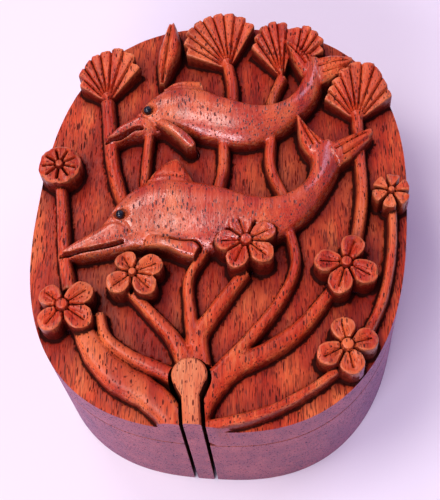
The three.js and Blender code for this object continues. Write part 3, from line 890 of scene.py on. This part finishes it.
# All the cuts in the order they are made: lines, half width and depth
KNIFE_CUTS = [
    (MOUTHS, 0.75, 2.6),
    (BROWS, 1.2, 0.7),
    (FIN_GROOVES, 0.7, 0.9),
    (LEAF_CREASE, 0.9, 1.0),
    (eye_rims(), 0.6, 0.6),
    (flipper_partings(), 0.5, 0.8),
    (FIN_ROOTS, 0.9, 0.5),
    (fan_grooves(), 0.5, 0.85),
    (petal_creases(), 0.55, 0.8),
    (petal_veins(), 0.4, 0.35),
    (petal_partings(), 0.6, 1.8),
    (button_rings(), 0.45, 0.9),
]


def cut_lines(piece, wood):
    knife = knife_tree()
    for lines, width, depth in KNIFE_CUTS:
        guide = line_object("guide", [smooth_line(line, 12) for line in lines])
        run_tree(piece, knife, Lines=guide, Width=width, Depth=depth, Wood=wood)
        drop(guide)


def store_hollows(piece):
    """Stores how deep each point lies below what is round it, for painted shade, wax and dust.

    Crevice compares a point with what lies 1 mm about it, hollow with 5 mm and
    basin with 11 mm. Steep is 1 on an upright side and 0 on a level face, and
    less of the ground's old stain and painted shade shows there.
    """
    cell, margin, skirt, unset = 0.4, 12, 1.5, -1e3
    level_normal, upright_normal = 0.8, 0.2
    count = len(piece.data.vertices)
    spots = np.empty(count * 3)
    piece.data.vertices.foreach_get("co", spots)
    spots = spots.reshape(-1, 3)
    low = spots[:, :2].min(0) - margin
    column = ((spots[:, 0] - low[0]) / cell).astype(int)
    row = ((spots[:, 1] - low[1]) / cell).astype(int)
    wide = column.max() + int(2 * margin / cell)
    tall = row.max() + int(2 * margin / cell)
    heights = np.full((tall, wide), unset)
    np.maximum.at(heights, (row, column), spots[:, 2])
    for _ in range(3):
        grown = np.max([np.roll(heights, s, a) for a in (0, 1) for s in (-1, 1)], axis=0)
        heights = np.where(heights < GROUND - skirt, grown, heights)
    heights = np.where(heights < GROUND - skirt, GROUND, heights)

    def blurred(grid, radius):
        span = 2 * radius + 1
        for axis in (0, 1):
            total = np.cumsum(grid, axis=axis)
            grid = (np.roll(total, -radius, axis) - np.roll(total, radius + 1, axis)) / span
        return grid

    def store(name, values):
        values[spots[:, 2] < GROUND - GROUND_MARGIN] = 0
        piece.data.attributes.new(name, "FLOAT", "POINT").data.foreach_set("value", values)

    normals = np.empty(count * 3)
    piece.data.vertices.foreach_get("normal", normals)
    steep = np.clip((level_normal - normals[2::3]) / (level_normal - upright_normal), 0, 1)
    # Name, reach in cells, depth that counts as full in mm, share on steep sides
    for name, reach, depth, on_sides in (
        ("crevice", 1, 0.8, 0.5), ("hollow", 6, 3.0, 0.8), ("basin", 14, 3.2, 1.0),
    ):
        level = blurred(blurred(heights, reach), reach)[row, column]
        share = 1 + (on_sides - 1) * steep
        store(name, np.clip((level - spots[:, 2]) / depth, -1, 1) * share)
    store("steep", steep)


# Tests for the faces that a finish lies on
UPRIGHT_NORMAL = 0.3
LEVEL_NORMAL = 0.85
OUTER_WALL = 0.985
INSIDE_WALL = 0.97


def plan_reach(face):
    """How far out a face lies: 1 is on the box's outline."""
    spot = face.center * MM
    return abs(spot.x / HALF_WIDTH) ** SQUARENESS + abs(spot.y / HALF_LENGTH) ** SQUARENESS


def on_sawn_side(piece):
    """True on the box's outer wall and on what lies below the carving."""
    low = (GROUND - GROUND_MARGIN / 2) / MM
    return np.array([
        face.center.z < low or (abs(face.normal.z) < UPRIGHT_NORMAL and plan_reach(face) > OUTER_WALL)
        for face in piece.data.polygons
    ])


def in_kerf(piece):
    """True on both sides of the saw's way round the key."""
    margin = 0.3
    way = np.array(keyhole(SAW_KERF + margin, SAW_KERF - KEY_SEAT_GAP))
    spots = np.array([face.center[:2] for face in piece.data.polygons]) * MM
    upright = np.array([abs(face.normal.z) < UPRIGHT_NORMAL and plan_reach(face) < INSIDE_WALL
                        for face in piece.data.polygons])
    return upright & held_by(way, spots)


def in_cuts(piece):
    """True for each face deep in a narrow cut, where wax and dust have gathered and painted shade darkens
    the wood.
    """
    least_depth = 0.3
    deep = np.array([item.value for item in piece.data.attributes["crevice"].data])
    return np.array([deep[list(face.vertices)].mean() > least_depth for face in piece.data.polygons])


def held_by(outline, spots):
    """True for each plan point inside an outline."""
    held = np.zeros(len(spots), bool)
    for (ax, ay), (bx, by) in zip(outline, np.roll(outline, -1, axis=0)):
        if ay != by:
            crossed = (ay > spots[:, 1]) != (by > spots[:, 1])
            held ^= crossed & (spots[:, 0] < ax + (spots[:, 1] - ay) * (bx - ax) / (by - ay))
    return held


def on_dolphins(piece):
    """True for each face of the dolphins and their flippers, which are rubbed to a shine."""
    spots = np.array([face.center[:2] for face in piece.data.polygons]) * MM
    edges = [(fish["back"], fish["belly"]) for fish in DOLPHINS.values()]
    edges += [(inner, free) for inner, free, _ in FLIPPERS]
    outlines = [np.concatenate([smooth_line(one, 40), smooth_line(other, 40)[::-1]])
                for one, other in edges]
    return np.any([held_by(outline, spots) for outline in outlines], axis=0)


def on_ground(piece):
    """True for each face of the level ground, which is rubbed less than the forms."""
    top = (GROUND + GROUND_MARGIN) / MM
    return np.array([face.normal.z > LEVEL_NORMAL and face.center.z < top for face in piece.data.polygons])


def chip():
    """The splinter missing from the lid's lower edge beside the key's slot."""
    front, back = -HALF_LENGTH - 1, -HALF_LENGTH + 1.3
    narrowing, lowering = 0.8, 0.4
    outline = [(1.0, SEAM - 0.5), (6.5, SEAM - 0.5), (5.0, SEAM + 0.9), (3.6, SEAM + 3.6), (1.0, SEAM + 4.2)]
    vertices = [(x, front, z) for x, z in outline]
    vertices += [(x * narrowing, back, SEAM + (z - SEAM) * lowering) for x, z in outline]
    count = len(outline)
    faces = [list(range(count)), list(range(count, 2 * count))[::-1]]
    faces += [[i, i + count, (i + 1) % count + count, (i + 1) % count] for i in range(count)]
    return face_outwards(new_object("chip", vertices, faces))


def carved_lid(wood):
    """The board with its relief fused on, knife-cut, sawn to the box's outline."""
    margin = 1.5
    wide = squared_oval(HALF_WIDTH + margin, HALF_LENGTH + margin, 0, SLAB_POINTS)
    slab = plain_prism("slab", wide, GROUND - CARVING_DEPTH, GROUND)
    relief = join("carved_lid", dolphin_forms() + [stem_forms(wood), slab] + repeated_forms(wood))
    fuse = relief.modifiers.new("Fuse", "REMESH")
    fuse.mode = "VOXEL"
    fuse.voxel_size = VOXEL
    soften = relief.modifiers.new("Soften", "SMOOTH")
    soften.factor = 0.5
    soften.iterations = 1
    settle(relief)
    cut_lines(relief, wood)
    run_tree(relief, gouge_tree(), Wood=wood)
    low, high = SEAM - OVERCUT, GROUND + ABOVE_CARVING
    boolean(relief, plain_prism("board", wide, low, GROUND - CARVING_DEPTH / 2), "UNION")
    boolean(relief, oval_block("outline", SEAM, high, EDGE_EASE, 0), "INTERSECT")
    boolean(relief, key_slot(low, high), "DIFFERENCE")
    boolean(relief, peg_hole(low, peg_high.z + PEG_CLEARANCE), "DIFFERENCE")
    boolean(relief, chip(), "DIFFERENCE")
    for centre, radius in EYES.values():
        lift = Vector((0, 0, radius * EYE_DISH_LIFT))
        boolean(relief, ball("dish", centre + lift, radius * EYE_DISH, 32, 18), "DIFFERENCE")
    thin = relief.modifiers.new("Thin", "DECIMATE")
    triangles = sum(len(face.vertices) - 2 for face in relief.data.polygons)
    thin.ratio = min(1.0, LID_TRIANGLES / triangles)
    settle(relief)
    store_hollows(relief)
    return relief


# Edges sharper than these angles are shaded as edges
SAWN_ANGLE = math.radians(35)
CARVED_ANGLE = math.radians(42)
BALL_ANGLE = math.radians(60)


def finish_piece(piece, woods, body, node, sharp=SAWN_ANGLE):
    """Turns a piece to metres, gives its faces their finishes and puts it on its body.

    Each finish comes with a test for the faces it lies on, and a later one wins.
    """
    to_metres(piece)
    piece.data.materials.clear()
    chosen = np.zeros(len(piece.data.polygons), int)
    for number, (material, lies_on) in enumerate(woods):
        piece.data.materials.append(material)
        if lies_on:
            chosen[lies_on(piece)] = number
    piece.data.polygons.foreach_set("material_index", chosen)
    piece.data.shade_smooth()
    piece.data.set_sharp_from_angle(angle=sharp)
    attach(piece, body)
    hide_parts(node)
    return piece


# Key, case, base, peg and eyes
def sawn_key():
    """The keyhole plug, with a narrow ease at its foot and a rubbed top edge."""
    top = KEY_TOP
    easing = [(0.25, 0.0), (0.0, 0.3), (0.0, top - 0.9), (0.18, top - 0.35), (0.6, top)]
    key = stacked_prism("sawn_key", [(keyhole(0, 0, inset), height) for inset, height in easing])
    return boolean(key, oval_block("outline", -OVERCUT, top + OVERCUT, 0, 0), "INTERSECT")


def hollowed_case():
    ring = oval_block("hollowed_case", BASE_TOP, CASE_TOP, 0, EDGE_EASE)
    hollow_half = (HOLLOW_REAR - HOLLOW_FRONT) / 2
    middle = (HOLLOW_REAR + HOLLOW_FRONT) / 2
    hollow = squared_oval(HALF_WIDTH - SIDE_WALL, hollow_half, middle, HOLLOW_POINTS)
    low, high = BASE_TOP - OVERCUT, CASE_TOP + OVERCUT
    boolean(ring, plain_prism("hollow", hollow, low, high), "DIFFERENCE")
    boolean(ring, key_slot(low, high), "DIFFERENCE")
    boolean(ring, peg_hole(peg_low.z - PEG_CLEARANCE, high), "DIFFERENCE")
    return ring


def glued_base():
    foot_ease = 0.3
    board = oval_block("glued_base", 0, BASE_TOP, foot_ease, 0)
    return boolean(board, key_slot(-OVERCUT, BASE_TOP + OVERCUT), "DIFFERENCE")


def round_peg():
    chamfer = 0.8
    low, high = peg_low.z, peg_high.z
    shank, end = peg_circle(PEG_RADIUS), peg_circle(PEG_RADIUS - chamfer)
    rings = [(end, low), (shank, low + chamfer), (shank, high - chamfer), (end, high)]
    return stacked_prism("round_peg", rings)


# Materials
# Sizes of the grain in millimetres, as (across, along, deep). The grain runs along
# the box. Real fibres are 0.02 mm wide and real pores 0.25 mm, which is less than
# a pixel, so fibres are drawn 0.5 mm wide, and pores and their lines 0.3 mm or more.
GROWTH_BANDS = (6, 70, 8)
FIBRES = (0.5, 12, 0.5)
PALE_PATCHES = (18, 40, 18)
DARK_FIGURE = (4, 16, 5)
VESSEL_LINES = (0.32, 12, 0.32)
# Blotches break the edges of the old stain and of the painted shade
SHADE_AND_WAX_BLOTCHES = (2.5, 4, 2.5)
TOOL_WAVER = (2.2, 4, 2.2)
PORE_GAP = 1.15
PORE_RUN = 3.6
GRAIN_TILT = math.radians(5)
SURFACE_RELIEF = 0.0002


def colour(hex_code):
    """An sRGB hex colour as linear values."""
    parts = [int(hex_code[i:i + 2], 16) / 255 for i in (1, 3, 5)]
    return [c / 12.92 if c <= 0.04045 else ((c + 0.055) / 1.055) ** 2.4 for c in parts] + [1.0]


def new_material(name):
    made = bpy.data.materials.new(name)
    made.use_nodes = True
    made.node_tree.nodes.clear()
    return made, made.node_tree


def grain_noise(tree, space, size, detail):
    """Noise whose grains are so many millimetres across, along and deep."""
    scale = [1 / length for length in size]
    laid = add_node(tree, "ShaderNodeMapping", Vector=space, Scale=scale).outputs[0]
    return add_node(tree, "ShaderNodeTexNoise", Vector=laid, Scale=1.0, Detail=detail,
                    Roughness=0.62).outputs["Fac"]


def open_pores(tree, space, gap, run, share):
    """Pores in cells so many millimetres wide: each fills a share, and some are faint."""
    laid = add_node(tree, "ShaderNodeMapping", Vector=space, Scale=[1 / gap, 1 / run, 1 / gap]).outputs[0]
    cells = add_node(tree, "ShaderNodeTexVoronoi", Vector=laid, Scale=1.0)
    hole = add_node(tree, "ShaderNodeMapRange", {"interpolation_type": "SMOOTHSTEP"},
                    Value=cells.outputs["Distance"], i1=share * 0.5, i2=share, i3=1.0, i4=0.0)
    chance = add_node(tree, "ShaderNodeSeparateColor", Color=cells.outputs["Color"])
    strength = add_node(tree, "ShaderNodeMapRange", Value=chance.outputs["Red"],
                        i1=0.1, i2=0.6, i3=0.3, i4=1.0)
    return add_node(tree, "ShaderNodeMath", {"operation": "MULTIPLY"},
                    i0=hole.outputs["Result"], i1=strength.outputs["Result"]).outputs[0]


def tone_scale(tree, value, stops):
    """The wood's own colours from dark to light, at positions along a value."""
    ramp = add_node(tree, "ShaderNodeValToRGB", Fac=value)
    marks = ramp.color_ramp.elements
    while len(marks) < len(stops):
        marks.new(0.5)
    for mark, (position, hex_code) in zip(marks, stops):
        mark.position = position
        mark.color = colour(hex_code)
    return ramp.outputs["Color"]


def stain(tree, wood, measure, start, full, strength, hex_code):
    """Works a colour into the wood where a measure goes from start to full."""
    share = add_node(tree, "ShaderNodeMapRange", {"interpolation_type": "SMOOTHSTEP"}, Value=measure,
                     i1=start, i2=full, i3=0.0, i4=strength).outputs["Result"]
    mixed = add_node(tree, "ShaderNodeMix", {"data_type": "RGBA"}, i0=share, i6=wood, i7=colour(hex_code))
    return mixed.outputs[2]


def carving_shade_and_stain(tree, space, wood):
    """Old stain and wax, with painted shade: red between the forms and on steep sides, black in the cuts."""
    depth = {name: add_node(tree, "ShaderNodeAttribute", {"attribute_name": name}).outputs["Fac"]
             for name in ("crevice", "hollow", "basin", "steep")}
    blotches = grain_noise(tree, space, SHADE_AND_WAX_BLOTCHES, 2.0)
    ragged = {name: add_node(tree, "ShaderNodeMath", {"operation": "MULTIPLY_ADD"},
                             i0=blotches, i1=0.5, i2=depth[name]).outputs[0]
              for name in ("crevice", "hollow", "basin")}
    # Measure, start, full, strength and colour. Edges, where crevice is below 0, are lighter: partly rubbed
    # pale, partly a painted highlight.
    for measure, begin, full, strength, hex_code in (
        # Basin, hollow and steep: old stain, and painted shade between the forms and on their sides
        (ragged["basin"], 0.3, 1.2, 0.62, "#82130A"),
        (ragged["hollow"], 0.35, 1.4, 0.6, "#5C0A05"),
        (depth["steep"], 0.2, 1.0, 0.88, "#5C0D06"),
        (depth["crevice"], -0.15, -0.7, 0.26, "#F4965E"),
        # In the cuts: old wax and dust, and painted shade, near black
        (ragged["crevice"], 0.5, 1.05, 0.95, "#200301"),
    ):
        wood = stain(tree, wood, measure, begin, full, strength, hex_code)
    return wood, ragged["crevice"]


def rain_tree_wood(name, tones, pore_hex, roughness, pore_gap=PORE_GAP, pore_run=PORE_RUN,
                   carved=False, gloss=0.5, sheen=0.0, figure=1.0):
    """Rain-tree wood: bands and streaks between its tones, and long open pores.

    Pores lie in cells pore_gap millimetres wide and pore_run times as long. Figure
    is how strong the patches are, and carved adds the stain of the carving with
    its painted shade and painted highlight.
    """
    made, tree = new_material(name)
    coords = add_node(tree, "ShaderNodeTexCoord").outputs["Object"]
    # The grain rises a little towards the back
    space = add_node(tree, "ShaderNodeMapping", Vector=coords, Scale=(MM, MM, MM),
                     Rotation=(GRAIN_TILT, 0, -GRAIN_TILT)).outputs[0]
    bands = grain_noise(tree, space, GROWTH_BANDS, 4.0)
    fibres = grain_noise(tree, space, FIBRES, 1.0)
    centred = add_node(tree, "ShaderNodeMath", {"operation": "SUBTRACT"}, i0=bands, i1=0.17).outputs[0]
    level = add_node(tree, "ShaderNodeMath", {"operation": "MULTIPLY_ADD"},
                     i0=fibres, i1=0.34, i2=centred).outputs[0]
    wood = tone_scale(tree, level, tones)
    darkest, lightest = tones[0][1], tones[-1][1]
    patches = grain_noise(tree, space, PALE_PATCHES, 2.0)
    wood = stain(tree, wood, patches, 0.45, 0.72, 0.55 * figure, lightest)
    dark_figure = grain_noise(tree, space, DARK_FIGURE, 3.0)
    wood = stain(tree, wood, dark_figure, 0.46, 0.72, 0.5 * figure, darkest)
    # Vessel lines are plainest on the level ground and fade up the forms
    height = add_node(tree, "ShaderNodeSeparateXYZ", Vector=coords).outputs["Z"]
    fading = add_node(tree, "ShaderNodeMapRange", Value=height, i1=(GROUND + 1) / MM,
                      i2=(GROUND + 4) / MM, i3=0.0, i4=0.06).outputs["Result"]
    lines = grain_noise(tree, space, VESSEL_LINES, 1.0)
    lines = add_node(tree, "ShaderNodeMath", {"operation": "SUBTRACT"}, i0=lines, i1=fading).outputs[0]
    wood = stain(tree, wood, lines, 0.51, 0.64, 0.75, pore_hex)
    large = open_pores(tree, space, pore_gap, pore_run * pore_gap, 0.28)
    small = open_pores(tree, space, 0.65 * pore_gap, 0.45 * pore_run * pore_gap, 0.25)
    holes = add_node(tree, "ShaderNodeMath", {"operation": "MAXIMUM"}, i0=large, i1=small).outputs[0]
    wood = stain(tree, wood, holes, 0.05, 0.7, 0.92, pore_hex)
    wax = add_node(tree, "ShaderNodeMapRange", Value=fibres, i1=0.3, i2=0.7,
                   i3=roughness - 0.05, i4=roughness + 0.07).outputs["Result"]
    # No wax stands in the open pores
    wax = add_node(tree, "ShaderNodeMath", {"operation": "MULTIPLY_ADD"},
                   i0=holes, i1=0.5, i2=wax).outputs[0]
    if carved:
        # The carving's old stain and painted shade, with a rougher wax in the cuts
        wood, cut_shade_and_dirt = carving_shade_and_stain(tree, space, wood)
        dull = add_node(tree, "ShaderNodeMapRange", Value=cut_shade_and_dirt, i1=0.3, i2=0.9, i3=0.0, i4=0.5)
        wax = add_node(tree, "ShaderNodeMath", {"operation": "ADD"},
                       i0=wax, i1=dull.outputs["Result"]).outputs[0]
    else:
        # Painted shade: the wall is a little darker towards the table
        below = add_node(tree, "ShaderNodeMath", {"operation": "MULTIPLY"}, i0=height, i1=-MM).outputs[0]
        wood = stain(tree, wood, below, -SEAM, 0.0, 0.12, "#5A1A16")
    waver = grain_noise(tree, space, TOOL_WAVER, 2.0)
    raised = add_node(tree, "ShaderNodeMath", {"operation": "MULTIPLY_ADD"},
                      i0=fibres, i1=0.12, i2=waver).outputs[0]
    relief = add_node(tree, "ShaderNodeMath", {"operation": "SUBTRACT"}, i0=raised, i1=holes).outputs[0]
    bump = add_node(tree, "ShaderNodeBump", Height=relief, Strength=0.6, Distance=SURFACE_RELIEF).outputs[0]
    shader = add_node(tree, "ShaderNodeBsdfPrincipled", Base_Color=wood, Roughness=wax, Normal=bump)
    shader.inputs["Specular IOR Level"].default_value = gloss
    shader.inputs["Sheen Weight"].default_value = sheen
    shader.inputs["Sheen Roughness"].default_value = 0.5
    # Where there is sheen, its violet tint is a painted reflection of the lavender light from the floor
    shader.inputs["Sheen Tint"].default_value = colour("#A98CFF")
    out = add_node(tree, "ShaderNodeOutputMaterial")
    tree.links.new(shader.outputs[0], out.inputs["Surface"])
    return made


def black_gloss(name):
    """A glass bead, near black, with a faint cloud in it."""
    made, tree = new_material(name)
    coords = add_node(tree, "ShaderNodeTexCoord").outputs["Object"]
    cloud = add_node(tree, "ShaderNodeTexNoise", Vector=coords, Scale=900.0, Detail=1.0).outputs["Fac"]
    tint = tone_scale(tree, cloud, [(0.35, "#0B0D12"), (0.7, "#1B2130")])
    shader = add_node(tree, "ShaderNodeBsdfPrincipled", Base_Color=tint)
    shader.inputs["Roughness"].default_value = 0.12
    out = add_node(tree, "ShaderNodeOutputMaterial")
    tree.links.new(shader.outputs[0], out.inputs["Surface"])
    return made


# Tones of each wood from dark to light, as (position, colour)
CARVED_TONES = [(0.22, "#851508"), (0.42, "#C03417"), (0.58, "#D94F26"), (0.8, "#EE8248")]
SAWN_TONES = [(0.22, "#A83F22"), (0.42, "#D8683A"), (0.58, "#E8834F"), (0.8, "#F5A36B")]
CASE_TONES = [(0.22, "#6B2423"), (0.42, "#8B3831"), (0.58, "#A0473D"), (0.8, "#B85E50")]
# The kerf's tones are painted dark for the shade in the narrow saw's way
KERF_SHADE_TONES = [(0.22, "#2A0B06"), (0.42, "#481A10"), (0.58, "#5E2516"), (0.8, "#743421")]
DOWEL_TONES = [(0.22, "#9A6A47"), (0.42, "#B98558"), (0.58, "#C79668"), (0.8, "#D6A97C")]

# The carving is stained, waxed and rubbed. The dolphins were rubbed longest: wide
# soft highlights lie over red-orange wood, broken by fine dark pores.
dolphin_wood = rain_tree_wood("waxed_rain_tree_polished", CARVED_TONES, "#360704", 0.26,
                              carved=True, gloss=1.0)
# Fans, flowers and stems have less wax: satin, with small dull highlights.
lid_wood = rain_tree_wood("waxed_rain_tree_carved", CARVED_TONES, "#3E0905", 0.34,
                          carved=True, gloss=0.35)
# Knife cuts hold old wax and dust, and are darkened with painted shade: they read as near-black lines with
# no glint.
cut_wood = rain_tree_wood("waxed_rain_tree_cuts", CARVED_TONES, "#3E0905", 0.3,
                          carved=True, gloss=0.1)
# The lowered ground is only wiped: long dark vessel lines and a flat glow.
ground_wood = rain_tree_wood("waxed_rain_tree_ground", CARVED_TONES, "#3E0905", 0.4, pore_gap=1.0,
                             pore_run=8, carved=True, gloss=0.25)
# The key's sawn top is rubbed clean of stain: paler and more orange than the lid.
key_wood = rain_tree_wood("waxed_rain_tree_sawn", SAWN_TONES, "#5E1B10", 0.4)
# The outer wall is sanded and unwaxed: an even, dull red-brown, with a faint violet sheen that is a painted
# reflection of the lavender light from the floor.
case_wood = rain_tree_wood("sanded_rain_tree_case", CASE_TONES, "#220707", 0.5, pore_run=5,
                           sheen=0.2, figure=0.4)
# The saw's way was never sanded: rough and without a glint. Its dark tones are painted shade, for the narrow
# cut that light hardly reaches.
kerf_wood = rain_tree_wood("sawn_rain_tree_kerf", KERF_SHADE_TONES, "#160503", 0.65, gloss=0.1)
# The peg is a turned dowel, unfinished: pale, dry wood.
peg_wood = rain_tree_wood("turned_dowel", DOWEL_TONES, "#6B4328", 0.6)
# Black glass: each eye is a dark dot with one small sharp glint.
bead_gloss = black_gloss("black_glass_bead")

finish_piece(carved_lid(lid_wood), [
    (lid_wood, None), (dolphin_wood, on_dolphins), (ground_wood, on_ground), (cut_wood, in_cuts),
    (case_wood, on_sawn_side), (kerf_wood, in_kerf),
], "lid", "lid", CARVED_ANGLE)
key_woods = [(key_wood, None), (case_wood, on_sawn_side), (kerf_wood, in_kerf)]
finish_piece(sawn_key(), key_woods, "key", "lock_key")
case_woods = [(case_wood, None), (kerf_wood, in_kerf)]
finish_piece(hollowed_case(), case_woods, "case", "case_wall")
finish_piece(glued_base(), case_woods, "case", "base_board")
finish_piece(round_peg(), [(peg_wood, None)], "lid", "pivot_peg")
for which, (eye_centre, eye_radius) in EYES.items():
    bead = ball("eye_bead_" + which, eye_centre, eye_radius, 40, 24)
    finish_piece(bead, [(bead_gloss, None)], "lid", "eye_inlay_" + which, BALL_ANGLE)


# Floor, camera and lights
FLOOR_REACH = 5.0


def pale_floor():
    """Matt paper, a touch of lavender: pale, with soft shadows and no glint."""
    bm = bmesh.new()
    bmesh.ops.create_grid(bm, x_segments=1, y_segments=1, size=FLOOR_REACH)
    floor = object_from("floor", bm)
    made, tree = new_material("lavender_paper")
    shader = add_node(tree, "ShaderNodeBsdfPrincipled")
    shader.inputs["Base Color"].default_value = colour("#FBF4FF")
    shader.inputs["Roughness"].default_value = 0.85
    out = add_node(tree, "ShaderNodeOutputMaterial")
    tree.links.new(shader.outputs[0], out.inputs["Surface"])
    floor.data.materials.append(made)


# The camera that took the photograph, in metres, with its focal length in pixels
CAMERA_AZIMUTH = math.radians(12.21)
CAMERA_ELEVATION = math.radians(61.87)
CAMERA_ROLL = math.radians(-7.83)
CAMERA_DISTANCE = 0.3649
CAMERA_TARGET = Vector((-0.00401, 0.01085, 0))
FOCAL_PIXELS = 1050
PHOTO_HEIGHT = 500
SENSOR = 36
LAMP_TARGET = Vector((0, 0, 0.03))


def photo_camera():
    flat = math.cos(CAMERA_ELEVATION)
    back = Vector((math.sin(CAMERA_AZIMUTH) * flat, -math.cos(CAMERA_AZIMUTH) * flat,
                   math.sin(CAMERA_ELEVATION)))
    level = Vector((math.cos(CAMERA_AZIMUTH), math.sin(CAMERA_AZIMUTH), 0))
    upright = back.cross(level)
    right = math.cos(CAMERA_ROLL) * level + math.sin(CAMERA_ROLL) * upright
    up = -math.sin(CAMERA_ROLL) * level + math.cos(CAMERA_ROLL) * upright
    data = bpy.data.cameras.new("photo_camera")
    data.sensor_fit = "AUTO"
    data.sensor_width = SENSOR
    data.lens = FOCAL_PIXELS / PHOTO_HEIGHT * SENSOR
    data.clip_start = 0.01
    camera = placed("photo_camera", data)
    turn = Matrix((right, up, back)).transposed().to_4x4()
    camera.matrix_world = Matrix.Translation(CAMERA_TARGET + back * CAMERA_DISTANCE) @ turn
    bpy.context.scene.camera = camera


def soft_panel(name, place, size, watts, tint):
    """A lamp panel of a size in metres, turned to the middle of the box."""
    data = bpy.data.lights.new(name, "AREA")
    data.shape = "RECTANGLE"
    data.size, data.size_y = size
    data.energy = watts
    data.color = colour(tint)[:3]
    lamp = placed(name, data)
    lamp.location = place
    lamp.rotation_euler = (LAMP_TARGET - Vector(place)).to_track_quat("-Z", "Y").to_euler()


pale_floor()
photo_camera()
soft_panel("window", (-0.95, -0.2, 1.95), (0.9, 1.0), 23.0, "#FFF8F2")
soft_panel("back_window", (-0.56, 0.68, 1.2), (0.4, 0.4), 3.0, "#FFF4EE")
soft_panel("front_panel", (-0.3, -1.0, 0.72), (0.7, 0.4), 8.6, "#F9F4FF")
soft_panel("right_fill", (0.65, 0.85, 1.1), (0.6, 0.6), 3.6, "#EBDAFF")

world = bpy.data.worlds.new("studio")
world.use_nodes = True
world.node_tree.nodes["Background"].inputs["Color"].default_value = colour("#DCC2FF")
world.node_tree.nodes["Background"].inputs["Strength"].default_value = 0.3
bpy.context.scene.world = world
bpy.context.scene.view_settings.view_transform = "Standard"
